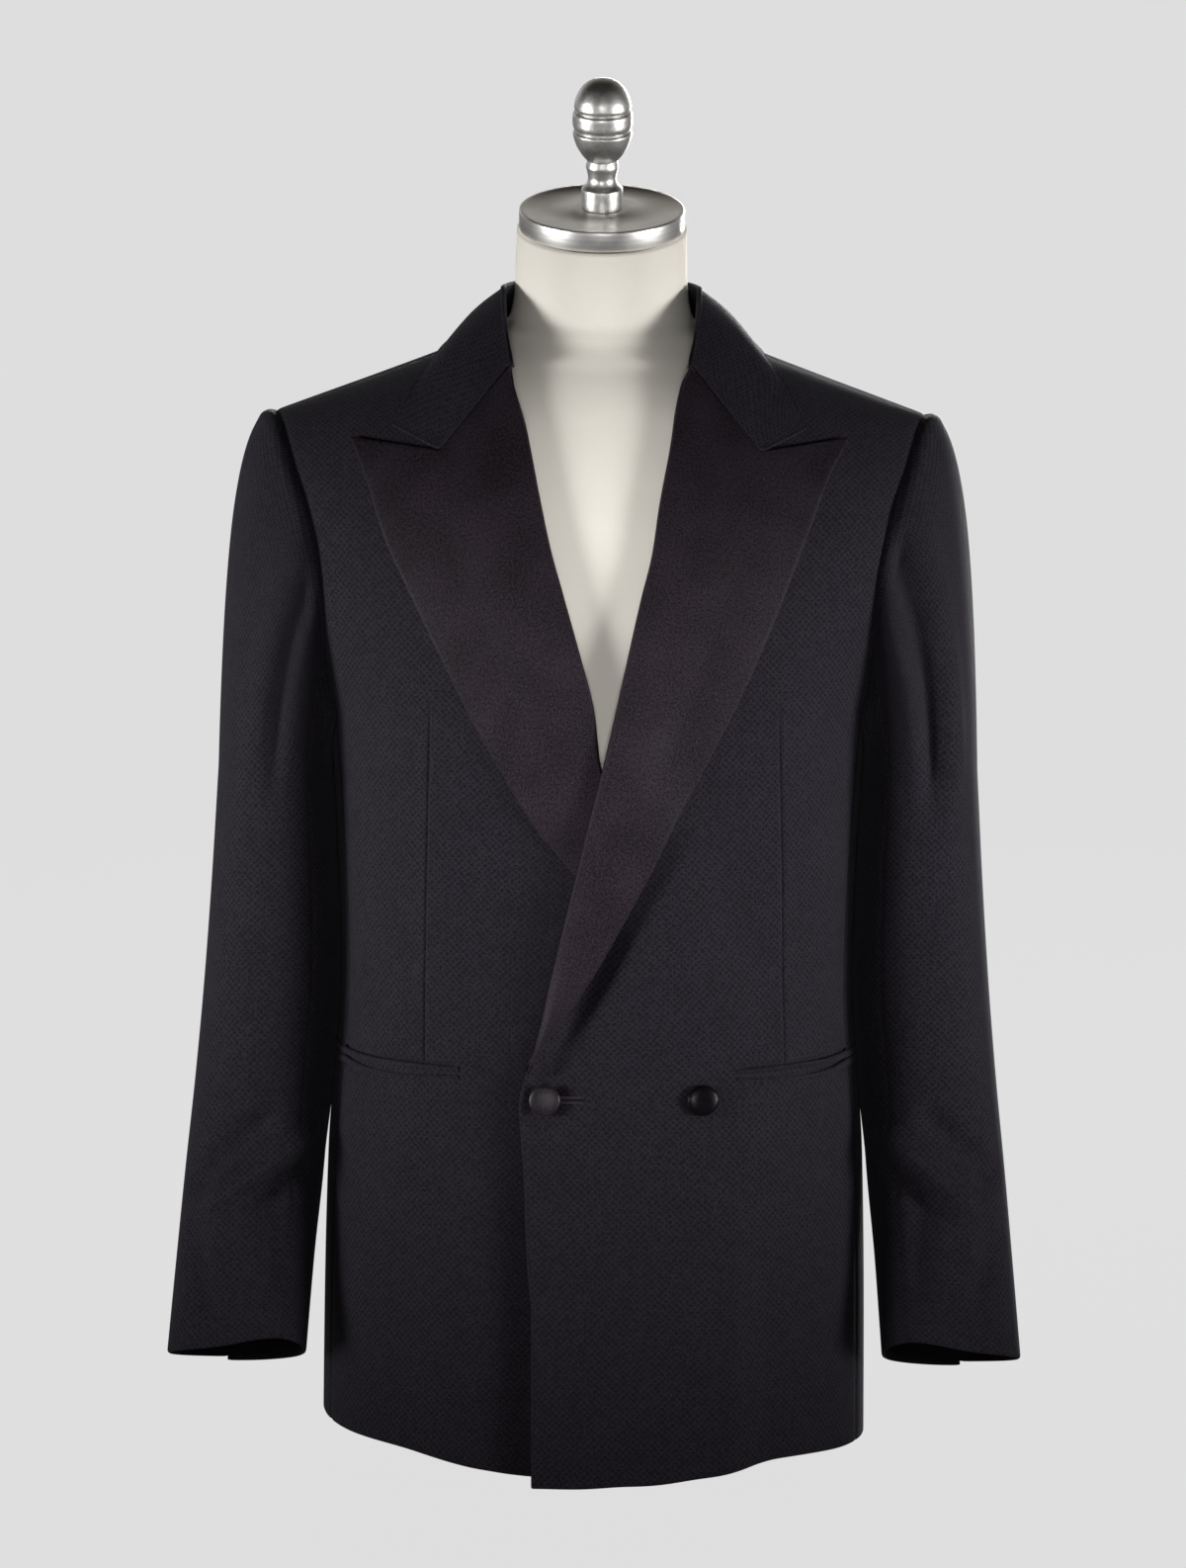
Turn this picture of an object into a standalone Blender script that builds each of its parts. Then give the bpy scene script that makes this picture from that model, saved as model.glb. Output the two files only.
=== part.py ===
"""Tuxedo jacket worn by a limbless tailor's form.

Metres, +Z up. The front faces -Y and the wearer's left is at +X, so the panels named "left" are at +X.
The torso's cloth lies on one surface, worked out from the section rows in BODY and from the shoulder line in RIDGE.
Each panel is a stretch of that surface with its own wall. Sleeves, collar, lapels, jets and buttons are built on it.
All tables give the wearer's left half; the other half is its mirror image, unless a table is named for one side.
"""

import math

import bmesh
import bpy
import numpy as np

# ---------------------------------------------------------------- driving dimensions
CLOTH = 0.0020  # wall of the suiting with what backs it
SATIN = 0.0018  # wall of a satin lapel
COLLAR_WALL = 0.0022
JET_WALL = 0.0012
SEAM = 0.0003  # gap kept between two sewn pieces
LAY = 0.0045  # outer face of a lapel above its forepart
CHEST = 0.530  # height of the armhole's front and back notches
ARMHOLE_DIP = 0.025  # how far the armhole reaches below them under the arm
SIDE_FRONT = math.radians(76)  # seams of the side body, from the centre front
SIDE_BACK = math.radians(105)
GIRTH_POWER = 2.35  # squareness of a level section
FRONT_POWER = 2.1  # fullness of the chest below the shoulder line
BACK_POWER = 2.6
NOMINAL_RISE = 0.24  # mean height of the shoulder line above CHEST
PANEL_REACH = 0.18  # mean radius of the panels, which turns a seam's gap into an angle
NECK_REACH = 0.13  # the same beside the centre back seam
SLEEVE_GIRTH = 0.33  # length once round the sleeve, which turns a seam's gap into a share
SLEEVE_START = 0.0005  # gap between the armhole's edge and the sleeve
NUDGE = 0.004  # step of an angle, level or share for measuring a surface's normals
DEPTH_SHIFT = 0.0039  # moves everything along Y, so that the origin is at the middle of the depth
BUTTON_RADIUS = 0.0108
CUFF_BUTTON_RADIUS = 0.0065
FOOT_RADIUS = 0.090
CAP_RADIUS = 0.0575
CAP_THICKNESS = 0.0145
NECK_TILT = math.radians(12)
CAP_BEVEL = 0.0016
NECK_Y = 0.020
CAP_SEAT_Z = 0.8635  # centre of the neck's slanted top
UP, ACROSS = 29, 12  # rows and columns of a forepart


def table(names, *rows):
    """Named columns of a short table."""
    return dict(zip(names.split(), np.array(rows, float).T))


BODY = table(
    "z half_width front back",
    (0.000, 0.1905, 0.140, 0.140),  # hem
    (0.120, 0.1895, 0.139, 0.143),  # seat
    (0.220, 0.1872, 0.135, 0.140),  # hip
    (0.350, 0.1785, 0.127, 0.122),  # waist
    (0.450, 0.1820, 0.133, 0.128),  # ribs
    (0.530, 0.1880, 0.138, 0.134),  # chest
    (0.567, 0.1990, 0.138, 0.135),  # armhole
    (0.600, 0.2115, 0.138, 0.136),  # shoulder blades
    (0.680, 0.2400, 0.136, 0.132),  # yoke
    (0.800, 0.2620, 0.130, 0.125),  # neck
)
RIDGE = table(
    "x z y",
    (0.000, 0.8300, 0.016),
    (0.040, 0.8170, 0.015),
    (0.078, 0.7930, 0.013),  # neck point
    (0.104, 0.7815, 0.011),
    (0.150, 0.7640, 0.009),
    (0.190, 0.7495, 0.007),
    (0.2265, 0.7365, 0.005),  # shoulder point
    (0.270, 0.7220, 0.004),
)
ARMHOLE = table(
    "z front back",
    (0.530, 0.1815, 0.1805),
    (0.567, 0.1885, 0.1900),
    (0.626, 0.1914, 0.1985),
    (0.676, 0.2010, 0.2035),
    (0.708, 0.2118, 0.2130),
    (0.7365, 0.2265, 0.2265),
)
NECKLINE = table(
    "x slope",  # slope counts quarter turns down from the shoulder line: back > 0, front < 0
    (0.0001, 0.405),
    (0.0300, 0.380),
    (0.0550, 0.300),
    (0.0730, 0.150),
    (0.0800, 0.000),
    (0.0755, -0.100),
    (0.0685, -0.200),
    (0.0604, -0.310),
)
ROLL_OVER = table(
    "z x",  # front edge and roll line of the upper forepart, the wearer's left
    (0.000, -0.0416),
    (0.122, -0.0423),
    (0.158, -0.0453),
    (0.224, -0.0484),
    (0.270, -0.0514),
    (0.2906, -0.0474),
    (0.3194, -0.0395),
    (0.3552, -0.0322),
    (0.4261, -0.0164),
    (0.4801, -0.0039),
    (0.5215, 0.0060),
    (0.5751, 0.0177),
    (0.6200, 0.0275),
    (0.6556, 0.0361),
    (0.6870, 0.0406),
    (0.7251, 0.0478),
    (0.7630, 0.0538),
    (0.7753, 0.0604),
)
ROLL_UNDER = table(
    "z x",  # the same of the forepart beneath, the wearer's right
    (0.000, -0.0800),
    (0.270, -0.0900),
    (0.292, -0.0880),
    (0.360, -0.0600),
    (0.430, -0.0300),
    (0.509, -0.0020),
    (0.548, 0.0030),
    (0.583, 0.0120),
    (0.631, 0.0258),
    (0.655, 0.0328),
    (0.689, 0.0405),
    (0.7355, 0.0504),
    (0.7655, 0.0589),
    (0.7753, 0.0604),
)
HEM_OVER = table("angle z", (-20, 0.006), (10, 0.007), (30, 0.014), (50, 0.021), (90, 0.019), (130, 0.013), (180, 0.010))
HEM_UNDER = table("angle z", (-40, 0.022), (-15, 0.014), (10, 0.010), (30, 0.016), (50, 0.026), (90, 0.034), (130, 0.020), (180, 0.010))
OVERLAP = table(
    "z lift end",  # how far the upper forepart stands off, and where the lower one ends
    (0.000, 0.0034, 0.083),
    (0.240, 0.0034, 0.093),
    (0.280, 0.0082, 0.092),
    (0.360, 0.0082, 0.066),
    (0.430, 0.0082, 0.040),
    (0.510, 0.0075, 0.013),
    (0.570, 0.0030, 0.003),
    (0.640, 0.0000, 0.000),
)
OVERLAP_EASE = 0.055  # width in which the upper forepart comes down to the body's surface

LAPEL_EDGE_OVER = table(
    "v x z",  # outer edge of the wearer's left lapel, from the break to the peak
    (0.000, -0.0430, 0.3000),
    (0.030, -0.0293, 0.3236),
    (0.110, -0.0071, 0.3553),
    (0.280, 0.0303, 0.4259),
    (0.390, 0.0523, 0.4706),
    (0.480, 0.0710, 0.5061),
    (0.630, 0.1043, 0.5731),
    (0.740, 0.1236, 0.6188),
    (0.860, 0.1438, 0.6697),
    (0.930, 0.1562, 0.7010),
    (1.000, 0.1705, 0.7255),
)
LAPEL_EDGE_UNDER = table(
    "v x z",
    (0.000, -0.0850, 0.3000),
    (0.080, -0.0500, 0.3450),
    (0.180, -0.0150, 0.3980),
    (0.290, 0.0253, 0.4448),
    (0.340, 0.0417, 0.4654),
    (0.420, 0.0628, 0.4995),
    (0.520, 0.0847, 0.5380),
    (0.740, 0.1280, 0.6228),
    (0.840, 0.1461, 0.6593),
    (0.930, 0.1600, 0.6990),
    (1.000, 0.1715, 0.7240),
)
GORGE = (0.0604, 0.7745)  # top of the roll line, x and z
NOTCH = (0.1092, 0.7185)  # inner corner between collar and peak
PEAK = (0.1710, 0.7245)
COLLAR_CORNER = (0.1410, 0.7320)
NOTCH_AT = 0.44  # share of a lapel's top edge that is sewn to the collar

COLLAR = table(
    "w fold_x fold_y fold_z edge_x edge_slope",  # w runs from the centre back to the gorge
    (0.00, 0.0001, 0.0830, 0.826, 0.0001, 0.462),
    (0.22, 0.0400, 0.0720, 0.827, 0.0470, 0.436),
    (0.42, 0.0590, 0.0430, 0.828, 0.0800, 0.330),
    (0.52, 0.0640, 0.0220, 0.828, 0.0945, 0.190),
    (0.60, 0.0658, 0.0060, 0.827, 0.1035, 0.030),
    (0.72, 0.0655, -0.0180, 0.818, 0.1150, -0.130),
    (0.86, 0.0640, -0.0430, 0.800, 0.1280, -0.240),
    (1.00, 0.0604, -0.0640, 0.779, 0.1410, -0.364),
)
FOLD_RADIUS = 0.0028
FALL_ROWS = 7
FALL_BOW = 0.0030  # how far the fall swells between its fold and its edge
STAND_LIFT = 0.0010  # gap between the neckline and the collar's stand
LAPEL_BOW = 0.0022  # how far a lapel swells beside its roll line
LAPEL_TUCK = 0.0012  # how far its roll line turns inwards
LAPEL_DROP = 0.0030  # how far the top of the roll line stays below the collar

SLEEVE = table(
    "z outer inner y half_depth tilt",
    (0.490, 0.2648, 0.1925, 0.004, 0.077, 0.0),  # biceps
    (0.410, 0.2696, 0.1920, 0.008, 0.072, 2.0),
    (0.340, 0.2745, 0.1920, 0.006, 0.066, 5.0),  # elbow
    (0.272, 0.2803, 0.1920, -0.004, 0.060, 9.0),
    (0.205, 0.2870, 0.1930, -0.020, 0.054, 12.0),
    (0.150, 0.2920, 0.1965, -0.037, 0.049, 14.0),
    (0.082, 0.2980, 0.2010, -0.058, 0.043, 15.0),  # cuff
)
SLEEVE_POWER = 2.35
CAP_SHARE = 0.36  # share of the sleeve's rows that lies above the biceps
CAP_PUSH = (0.016, 0.088)  # how far the cap swells beside the seam, under the arm and at the crown
CAP_FALL = (0.030, 0.350)  # how steeply it arrives at the biceps, in the same places
FORE_SEAM = 0.355  # the sleeve's seams as shares of the way round: 0 is outside, 0.25 in front
HIND_SEAM = (0.700, 0.775)  # at the top and at the cuff
BEHIND_CROWN = (0.0, 0.133, 0.30, 0.47, 0.63, 0.78, 0.90, 1.0)  # columns of the upper piece, as shares of their run
AHEAD_OF_CROWN = (0.10, 0.22, 0.37, 0.53, 0.69, 0.85, 1.0)
SLEEVE_FOLDS = table(
    "share0 z0 share1 z1 width depth",
    (0.42, 0.222, 0.06, 0.188, 0.013, -0.0034),
    (0.36, 0.190, 0.02, 0.200, 0.012, 0.0026),
    (0.40, 0.268, 0.10, 0.300, 0.014, -0.0022),
    (0.80, 0.300, 0.96, 0.270, 0.015, -0.0026),
)

POCKET = table(
    "angle upper lower",  # heights of the two outer edges of the jets
    (39.0, 0.2962, 0.2874),
    (60.0, 0.2963, 0.2862),
    (90.0, 0.2990, 0.2862),
)
JET_SHARE = 0.47  # height of one jet as a share of the pair
BUTTONS = {"fastened": (-0.0344, 0.2762), "show": (0.0716, 0.2760)}

FORM = table(
    "z half_width front back power slope y",
    (0.046, 0.1620, 0.112, 0.114, 2.35, 0.0, 0.000),
    (0.050, 0.1720, 0.121, 0.123, 2.35, 0.0, 0.000),
    (0.064, 0.1790, 0.128, 0.130, 2.35, 0.0, 0.000),
    (0.120, 0.1790, 0.128, 0.132, 2.35, 0.0, 0.000),
    (0.220, 0.1765, 0.124, 0.129, 2.35, 0.0, 0.000),
    (0.350, 0.1680, 0.116, 0.111, 2.35, 0.0, 0.000),
    (0.450, 0.1715, 0.122, 0.118, 2.35, 0.0, 0.000),
    (0.530, 0.1760, 0.128, 0.124, 2.35, 0.0, 0.000),
    (0.600, 0.1810, 0.128, 0.126, 2.35, 0.0, 0.003),
    (0.660, 0.1900, 0.120, 0.121, 2.30, 0.0, 0.006),
    (0.700, 0.2030, 0.109, 0.114, 2.20, 0.0, 0.008),
    (0.722, 0.2130, 0.101, 0.108, 2.10, 0.0, 0.010),
    (0.7365, 0.2150, 0.094, 0.104, 2.00, 0.0, 0.011),
    (0.7450, 0.1935, 0.090, 0.100, 1.95, 0.0, 0.012),
    (0.7600, 0.1510, 0.081, 0.088, 1.90, 0.0, 0.014),
    (0.7750, 0.1110, 0.070, 0.076, 1.90, 0.0, 0.016),
    (0.7900, 0.0760, 0.062, 0.068, 2.00, 0.0, 0.018),
    (0.8050, 0.0630, 0.0600, 0.0620, 2.0, 0.06, 0.020),
    (0.8250, 0.0600, 0.0590, 0.0600, 2.0, 0.14, 0.020),
    (0.8635, 0.0590, 0.0590, 0.0590, 2.0, 0.2126, 0.020),
)
FORM_CLEARANCE = 0.0028  # from the cloth's outer face down to the form where the jacket rests on it
FORM_NECK_FREE = 0.064  # no cloth lies above the form nearer to its middle than this

FINIAL = (  # radius and height above the cap, turned about the neck's axis
    (0.0140, 0.0000), (0.0142, 0.0030), (0.0142, 0.0140), (0.0118, 0.0165), (0.0098, 0.0215),
    (0.0106, 0.0262), (0.0112, 0.0300), (0.0108, 0.0345), (0.0122, 0.0358), (0.0150, 0.0400),
    (0.0190, 0.0480), (0.0206, 0.0545), (0.0194, 0.0560), (0.0205, 0.0580), (0.0207, 0.0640),
    (0.0203, 0.0695), (0.0192, 0.0708), (0.0196, 0.0725), (0.0182, 0.0800), (0.0138, 0.0875),
    (0.0070, 0.0920),
)
FINIAL_HEIGHT = 0.0932


# ---------------------------------------------------------------- curves and surfaces
def along(x, xs, ys):
    """Smooth curve through the points (xs, ys) that never overshoots them, read at x."""
    x = np.asarray(x, float)
    if xs[0] > xs[-1]:
        xs, ys = xs[::-1], ys[::-1]
    x = np.clip(x, xs[0], xs[-1])
    step = np.diff(xs)
    rate = np.diff(ys) / step
    slope = np.empty_like(ys)
    slope[0], slope[-1] = rate[0], rate[-1]
    same = rate[:-1] * rate[1:] > 0
    total = np.where(same, rate[:-1] + rate[1:], 1.0)
    slope[1:-1] = np.where(same, 2 * rate[:-1] * rate[1:] / total, 0.0)
    i = np.clip(np.searchsorted(xs, x) - 1, 0, len(xs) - 2)
    t = (x - xs[i]) / step[i]
    start = ys[i] * (1 + 2 * t) * (1 - t) ** 2 + step[i] * slope[i] * t * (1 - t) ** 2
    return start + ys[i + 1] * t * t * (3 - 2 * t) + step[i] * slope[i + 1] * t * t * (t - 1)


def smooth(t):
    t = np.clip(t, 0.0, 1.0)
    return t * t * (3 - 2 * t)


def column(rows, key, at, name):
    return along(at, rows[key], rows[name])


def unit(vectors):
    return vectors / np.maximum(np.linalg.norm(vectors, axis=-1, keepdims=True), 1e-12)


def squircle(angle, half_width, depth, power):
    """Point of a level section in the direction of angle, 0 being straight ahead."""
    reach = (np.abs(np.sin(angle)) / half_width) ** power + (np.abs(np.cos(angle)) / depth) ** power
    radius = reach ** (-1 / power)
    return radius * np.sin(angle), radius * np.cos(angle)


def section_depth(x, z, ahead):
    """How deep the level section at z is at x, in front where ahead is true."""
    half_width = column(BODY, "z", z, "half_width")
    depth = np.where(ahead, column(BODY, "z", z, "front"), column(BODY, "z", z, "back"))
    return depth * (1 - np.clip(np.abs(x) / half_width, 0, 1) ** GIRTH_POWER) ** (1 / GIRTH_POWER)


def shoulder_slope(x, turn, ahead):
    """Point above CHEST: at turn 0 it is at CHEST, at turn 1 on the shoulder line, on a quarter of a superellipse."""
    power = np.where(ahead, FRONT_POWER, BACK_POWER)
    quarter = np.clip(turn, 0, 1) * math.pi / 2
    rise = np.sin(quarter) ** (2 / power)
    left = np.clip(np.cos(quarter), 0, 1) ** (2 / power)
    top = column(RIDGE, "x", np.abs(x), "z")
    top_y = column(RIDGE, "x", np.abs(x), "y")
    z = CHEST + (top - CHEST) * rise
    y = top_y * (1 - left) + np.where(ahead, -1, 1) * section_depth(x, z, ahead) * left
    return np.stack(np.broadcast_arrays(x, y, z), -1)


def torso(angle, level, hem):
    """The torso's surface: level 0 is the hem, 1 is CHEST and 2 the shoulder line. angle is 0 at the centre front."""
    ahead = np.cos(angle) > 0
    z = hem + np.clip(level, 0, 1) * (CHEST - hem)
    depth = np.where(ahead, column(BODY, "z", z, "front"), column(BODY, "z", z, "back"))
    x, deep = squircle(angle, column(BODY, "z", z, "half_width"), depth, GIRTH_POWER)
    low = np.stack(np.broadcast_arrays(x, -deep, z), -1)
    turn = np.clip(level - 1, 0, 1)
    power = np.where(ahead, FRONT_POWER, BACK_POWER)
    nominal = CHEST + NOMINAL_RISE * np.sin(turn * math.pi / 2) ** (2 / power)
    depth = np.where(ahead, column(BODY, "z", nominal, "front"), column(BODY, "z", nominal, "back"))
    x = squircle(angle, column(BODY, "z", nominal, "half_width"), depth, GIRTH_POWER)[0]
    high = shoulder_slope(x, turn, ahead)
    return np.where((level > 1)[..., None], high, low)


def torso_angle(x, level_z, ahead):
    """The angle at which torso() gives x at a height, or at the nominal height above CHEST."""
    return np.arctan2(x, np.where(ahead, 1, -1) * section_depth(x, level_z, ahead))


def front_y(x, z):
    """Y of the torso's front surface at x and z."""
    top = column(RIDGE, "x", np.abs(x), "z")
    top_y = column(RIDGE, "x", np.abs(x), "y")
    rise = np.clip((z - CHEST) / (top - CHEST), 0, 1)
    left = (1 - rise**FRONT_POWER) ** (1 / FRONT_POWER)
    return top_y * (1 - left) - section_depth(x, z, True) * left


def back_y(x, z):
    top = column(RIDGE, "x", np.abs(x), "z")
    top_y = column(RIDGE, "x", np.abs(x), "y")
    rise = np.clip((z - CHEST) / (top - CHEST), 0, 1)
    left = (1 - rise**BACK_POWER) ** (1 / BACK_POWER)
    return top_y * (1 - left) + section_depth(x, z, False) * left


def on_front(x, z, lift):
    """Point of the front surface at x and z, moved out by lift."""
    e = 0.0008
    across = (front_y(x + e, z) - front_y(x - e, z)) / (2 * e)
    up = (front_y(x, z + e) - front_y(x, z - e)) / (2 * e)
    out = unit(np.stack(np.broadcast_arrays(across, -1.0, up), -1))
    return np.stack(np.broadcast_arrays(x, front_y(x, z), z), -1) + out * np.asarray(lift)[..., None]


def overlap_lift(x, z):
    """How far the upper forepart stands off the torso's surface."""
    lift = column(OVERLAP, "z", z, "lift")
    end = column(OVERLAP, "z", z, "end")
    return lift * smooth((end + OVERLAP_EASE - x) / OVERLAP_EASE)


def turn_of(x, z, power):
    """Quarter turns up the shoulder's slope at x and z."""
    top = column(RIDGE, "x", np.abs(x), "z")
    rise = np.clip((z - CHEST) / (top - CHEST), 0, 1)
    return np.arcsin(np.clip(rise ** (power / 2), 0, 1)) * 2 / math.pi


# ---------------------------------------------------------------- meshes
MATERIALS = {
    "suiting": ((0.012, 0.012, 0.017), 0.85, 0.0),
    "satin": ((0.014, 0.011, 0.015), 0.38, 0.0),
    "canvas": ((0.62, 0.55, 0.42), 0.80, 0.0),
    "brushed": ((0.62, 0.61, 0.59), 0.38, 1.0),
    "cast": ((0.55, 0.55, 0.54), 0.30, 1.0),
}


def material_for(name, finish):
    colour, roughness, metallic = MATERIALS[finish]
    material = bpy.data.materials.new(name + "_" + finish)
    material.use_nodes = True
    shader = material.node_tree.nodes["Principled BSDF"]
    shader.inputs["Base Color"].default_value = (*colour, 1.0)
    shader.inputs["Roughness"].default_value = roughness
    shader.inputs["Metallic"].default_value = metallic
    return material


def finish_object(name, finish, mesh):
    for polygon in mesh.polygons:
        polygon.use_smooth = True
    mesh.set_sharp_from_angle(angle=math.radians(40))
    piece = bpy.data.objects.new(name, mesh)
    piece.data.materials.append(material_for(name, finish))
    bpy.context.scene.collection.objects.link(piece)
    return piece


def solid_from(name, finish, points, faces):
    """One closed body from points and faces, with its faces turned outwards."""
    mesh = bpy.data.meshes.new(name)
    points = np.asarray(points, float).reshape(-1, 3) + (0.0, DEPTH_SHIFT, 0.0)
    mesh.from_pydata(points.tolist(), [], [list(map(int, f)) for f in faces])
    body = bmesh.new()
    body.from_mesh(mesh)
    bmesh.ops.recalc_face_normals(body, faces=body.faces)
    bmesh.ops.triangulate(body, faces=[f for f in body.faces if len(f.verts) > 3])
    body.to_mesh(mesh)
    body.free()
    return finish_object(name, finish, mesh)


def wall(name, finish, outer, inner):
    """A cloth wall between two grids of points, closed round its edge."""
    rows, columns = outer.shape[:2]
    number = np.arange(rows * columns).reshape(rows, columns)
    far = number + rows * columns
    faces = []
    for r in range(rows - 1):
        for c in range(columns - 1):
            faces.append((number[r, c], number[r, c + 1], number[r + 1, c + 1], number[r + 1, c]))
            faces.append((far[r, c], far[r + 1, c], far[r + 1, c + 1], far[r, c + 1]))
    rim = [*number[0, :-1], *number[:-1, -1], *number[-1, :0:-1], *number[:0:-1, 0]]
    for k, here in enumerate(rim):
        after = rim[(k + 1) % len(rim)]
        faces.append((here, after, after + rows * columns, here + rows * columns))
    return solid_from(name, finish, np.concatenate([outer.reshape(-1, 3), inner.reshape(-1, 3)]), faces)


def stack_of_rings(name, finish, rings):
    """A closed solid through rings of points, with flat ends."""
    count, sides = rings.shape[:2]
    number = np.arange(count * sides).reshape(count, sides)
    faces = [tuple(number[0, ::-1]), tuple(number[-1])]
    for r in range(count - 1):
        for c in range(sides):
            d = (c + 1) % sides
            faces.append((number[r, c], number[r, d], number[r + 1, d], number[r + 1, c]))
    return solid_from(name, finish, rings, faces)


def mirrored(points, side):
    return points * (side, 1.0, 1.0)


def normals_of(surface, a, b, da, db):
    """Unit normals of surface(a, b), by small differences."""
    along_a = surface(a + da, b) - surface(a - da, b)
    along_b = surface(a, b + db) - surface(a, b - db)
    return unit(np.cross(along_a, along_b))


def grid_normals(points):
    across = np.gradient(points, axis=1)
    up = np.gradient(points, axis=0)
    return unit(np.cross(across, up))


# ---------------------------------------------------------------- torso panels
def sides():
    return (("left", 1.0, ROLL_OVER, HEM_OVER), ("right", -1.0, ROLL_UNDER, HEM_UNDER))


def front_inner_line(roll):
    """Front edge, roll line and neckline of a forepart, as levels and x."""
    low = roll["z"] < CHEST
    high_turn = turn_of(roll["x"][~low], roll["z"][~low], FRONT_POWER)
    ahead = NECKLINE["slope"] <= 0
    neck_turn = 1 + NECKLINE["slope"][ahead][::-1]
    neck_x = NECKLINE["x"][ahead][::-1]
    later = neck_turn > high_turn[-1] + 0.02
    levels = np.concatenate([roll["z"][low] / CHEST, 1 + high_turn, 1 + neck_turn[later]])
    return levels, np.concatenate([roll["x"], neck_x[later]])


def armhole_line(which, power):
    """Edge of a panel at the armhole, as levels and x."""
    turns = turn_of(ARMHOLE[which], ARMHOLE["z"], power)
    turns[-1] = 1.0
    return 1 + turns, ARMHOLE[which]


def level_height(level, power):
    """Height, or nominal height above CHEST, at which torso() takes its section for a level."""
    turn = np.clip(level - 1, 0, 1)
    return np.where(level > 1, CHEST + NOMINAL_RISE * np.sin(turn * math.pi / 2) ** (2 / power), level * CHEST)


def hem_height(hem, angle):
    return column(hem, "angle", np.degrees(angle), "z")


def panel_wall(name, angles, levels, hem, side, lift=None):
    """A panel of the torso between rows of angles, with its wall inwards."""
    def surface(a, b):
        return torso(a, np.clip(b, 0, 2), hem_height(hem, a))

    points = surface(angles, levels)
    out = normals_of(surface, angles, levels, NUDGE, NUDGE)
    out *= np.sign(np.sum(out * (points - (0, 0.01, 0.4)), -1, keepdims=True))
    raised = 0.0 if lift is None else lift(points)[..., None]
    wall(name, "suiting", mirrored(points + out * raised, side), mirrored(points + out * (raised - CLOTH), side))


def forepart(label, side, roll, hem):
    levels = np.concatenate([np.linspace(0, 1, 17)[:-1], 1 + np.linspace(0, 1, UP - 15)])
    height = level_height(levels, FRONT_POWER)
    edge_levels, edge_x = front_inner_line(roll)
    start = torso_angle(along(levels, edge_levels, edge_x), height, True)
    arm_levels, arm_x = armhole_line("front", FRONT_POWER)
    armhole = torso_angle(along(levels, arm_levels, arm_x), height, True)
    end = np.where(levels > 1, armhole, SIDE_FRONT) - SEAM / 2 / PANEL_REACH
    share = np.linspace(0, 1, ACROSS + 1)[None, :]
    angles = start[:, None] * (1 - share) + end[:, None] * share
    lift = (lambda p: overlap_lift(p[..., 0], p[..., 2])) if side > 0 else None
    panel_wall("front_" + label, angles, np.repeat(levels[:, None], ACROSS + 1, 1), hem, side, lift)


def back_panel(label, side, hem):
    levels = np.concatenate([np.linspace(0, 1, 13)[:-1], 1 + np.linspace(0, 1, 12)])
    levels[-1] -= 0.004
    height = level_height(levels, BACK_POWER)
    behind = NECKLINE["slope"] >= 0
    neck = along(levels - 1, 1 - NECKLINE["slope"][behind], NECKLINE["x"][behind])
    start = torso_angle(np.maximum(neck, 1e-4), height, False) - SEAM / 2 / NECK_REACH
    arm_levels, arm_x = armhole_line("back", BACK_POWER)
    armhole = torso_angle(along(levels, arm_levels, arm_x), height, False)
    end = np.where(levels > 1, armhole, SIDE_BACK) + SEAM / 2 / PANEL_REACH
    share = np.linspace(0, 1, 10)[None, :]
    angles = start[:, None] * (1 - share) + end[:, None] * share
    panel_wall("back_" + label, angles, np.repeat(levels[:, None], 10, 1), hem, side)


def side_top(angle):
    """Height at which the side body ends in the armhole."""
    share = (angle - SIDE_FRONT) / (SIDE_BACK - SIDE_FRONT)
    return CHEST - ARMHOLE_DIP * 4 * share * (1 - share)


def side_body(label, side, hem):
    gap = SEAM / 2 / PANEL_REACH
    angles = np.linspace(SIDE_FRONT + gap, SIDE_BACK - gap, 6)[None, :].repeat(16, 0)
    base = hem_height(hem, angles)
    levels = np.linspace(0, 1, 16)[:, None] * (side_top(angles) - base) / (CHEST - base)
    panel_wall("side_" + label, angles, levels, hem, side)


# ---------------------------------------------------------------- sleeves
def armhole_ring(share):
    """Points of the armhole's edge: share 0 is the shoulder point, 0.25 in front, 0.5 under the arm."""
    front_levels, front_x = armhole_line("front", FRONT_POWER)
    back_levels, back_x = armhole_line("back", BACK_POWER)
    down = np.linspace(1, 0, 60)
    ahead = shoulder_slope(along(1 + down, front_levels, front_x), down, True)
    under = np.linspace(SIDE_FRONT, SIDE_BACK, 30)
    below = torso(under, side_top(under) / CHEST, np.zeros_like(under))
    behind = shoulder_slope(along(1 + down[::-1], back_levels, back_x), down[::-1], False)
    line = np.concatenate([ahead, below[1:-1], behind])
    length = np.concatenate([[0], np.cumsum(np.linalg.norm(np.diff(line, axis=0), axis=1))])
    lowest = length[60 + 14] / length[-1]
    share = np.mod(share, 1.0)
    walk = np.where(share < 0.5, share * 2 * lowest, lowest + (share - 0.5) * 2 * (1 - lowest))
    return np.stack([np.interp(walk, length / length[-1], line[:, k]) for k in range(3)], -1)


def sleeve_ring(share, z):
    """Point of the sleeve's tube at a share of the way round and at the height z of its axis."""
    outer, inner = column(SLEEVE, "z", z, "outer"), column(SLEEVE, "z", z, "inner")
    ahead, beside = squircle(share * 2 * math.pi, 1.0, 1.0, SLEEVE_POWER)
    ahead = ahead * column(SLEEVE, "z", z, "half_depth")
    beside = beside * (outer - inner) / 2
    tilt = np.tan(np.radians(column(SLEEVE, "z", z, "tilt")))
    y = column(SLEEVE, "z", z, "y") - ahead
    return np.stack([(outer + inner) / 2 + beside, y, z + ahead * tilt], -1)


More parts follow.
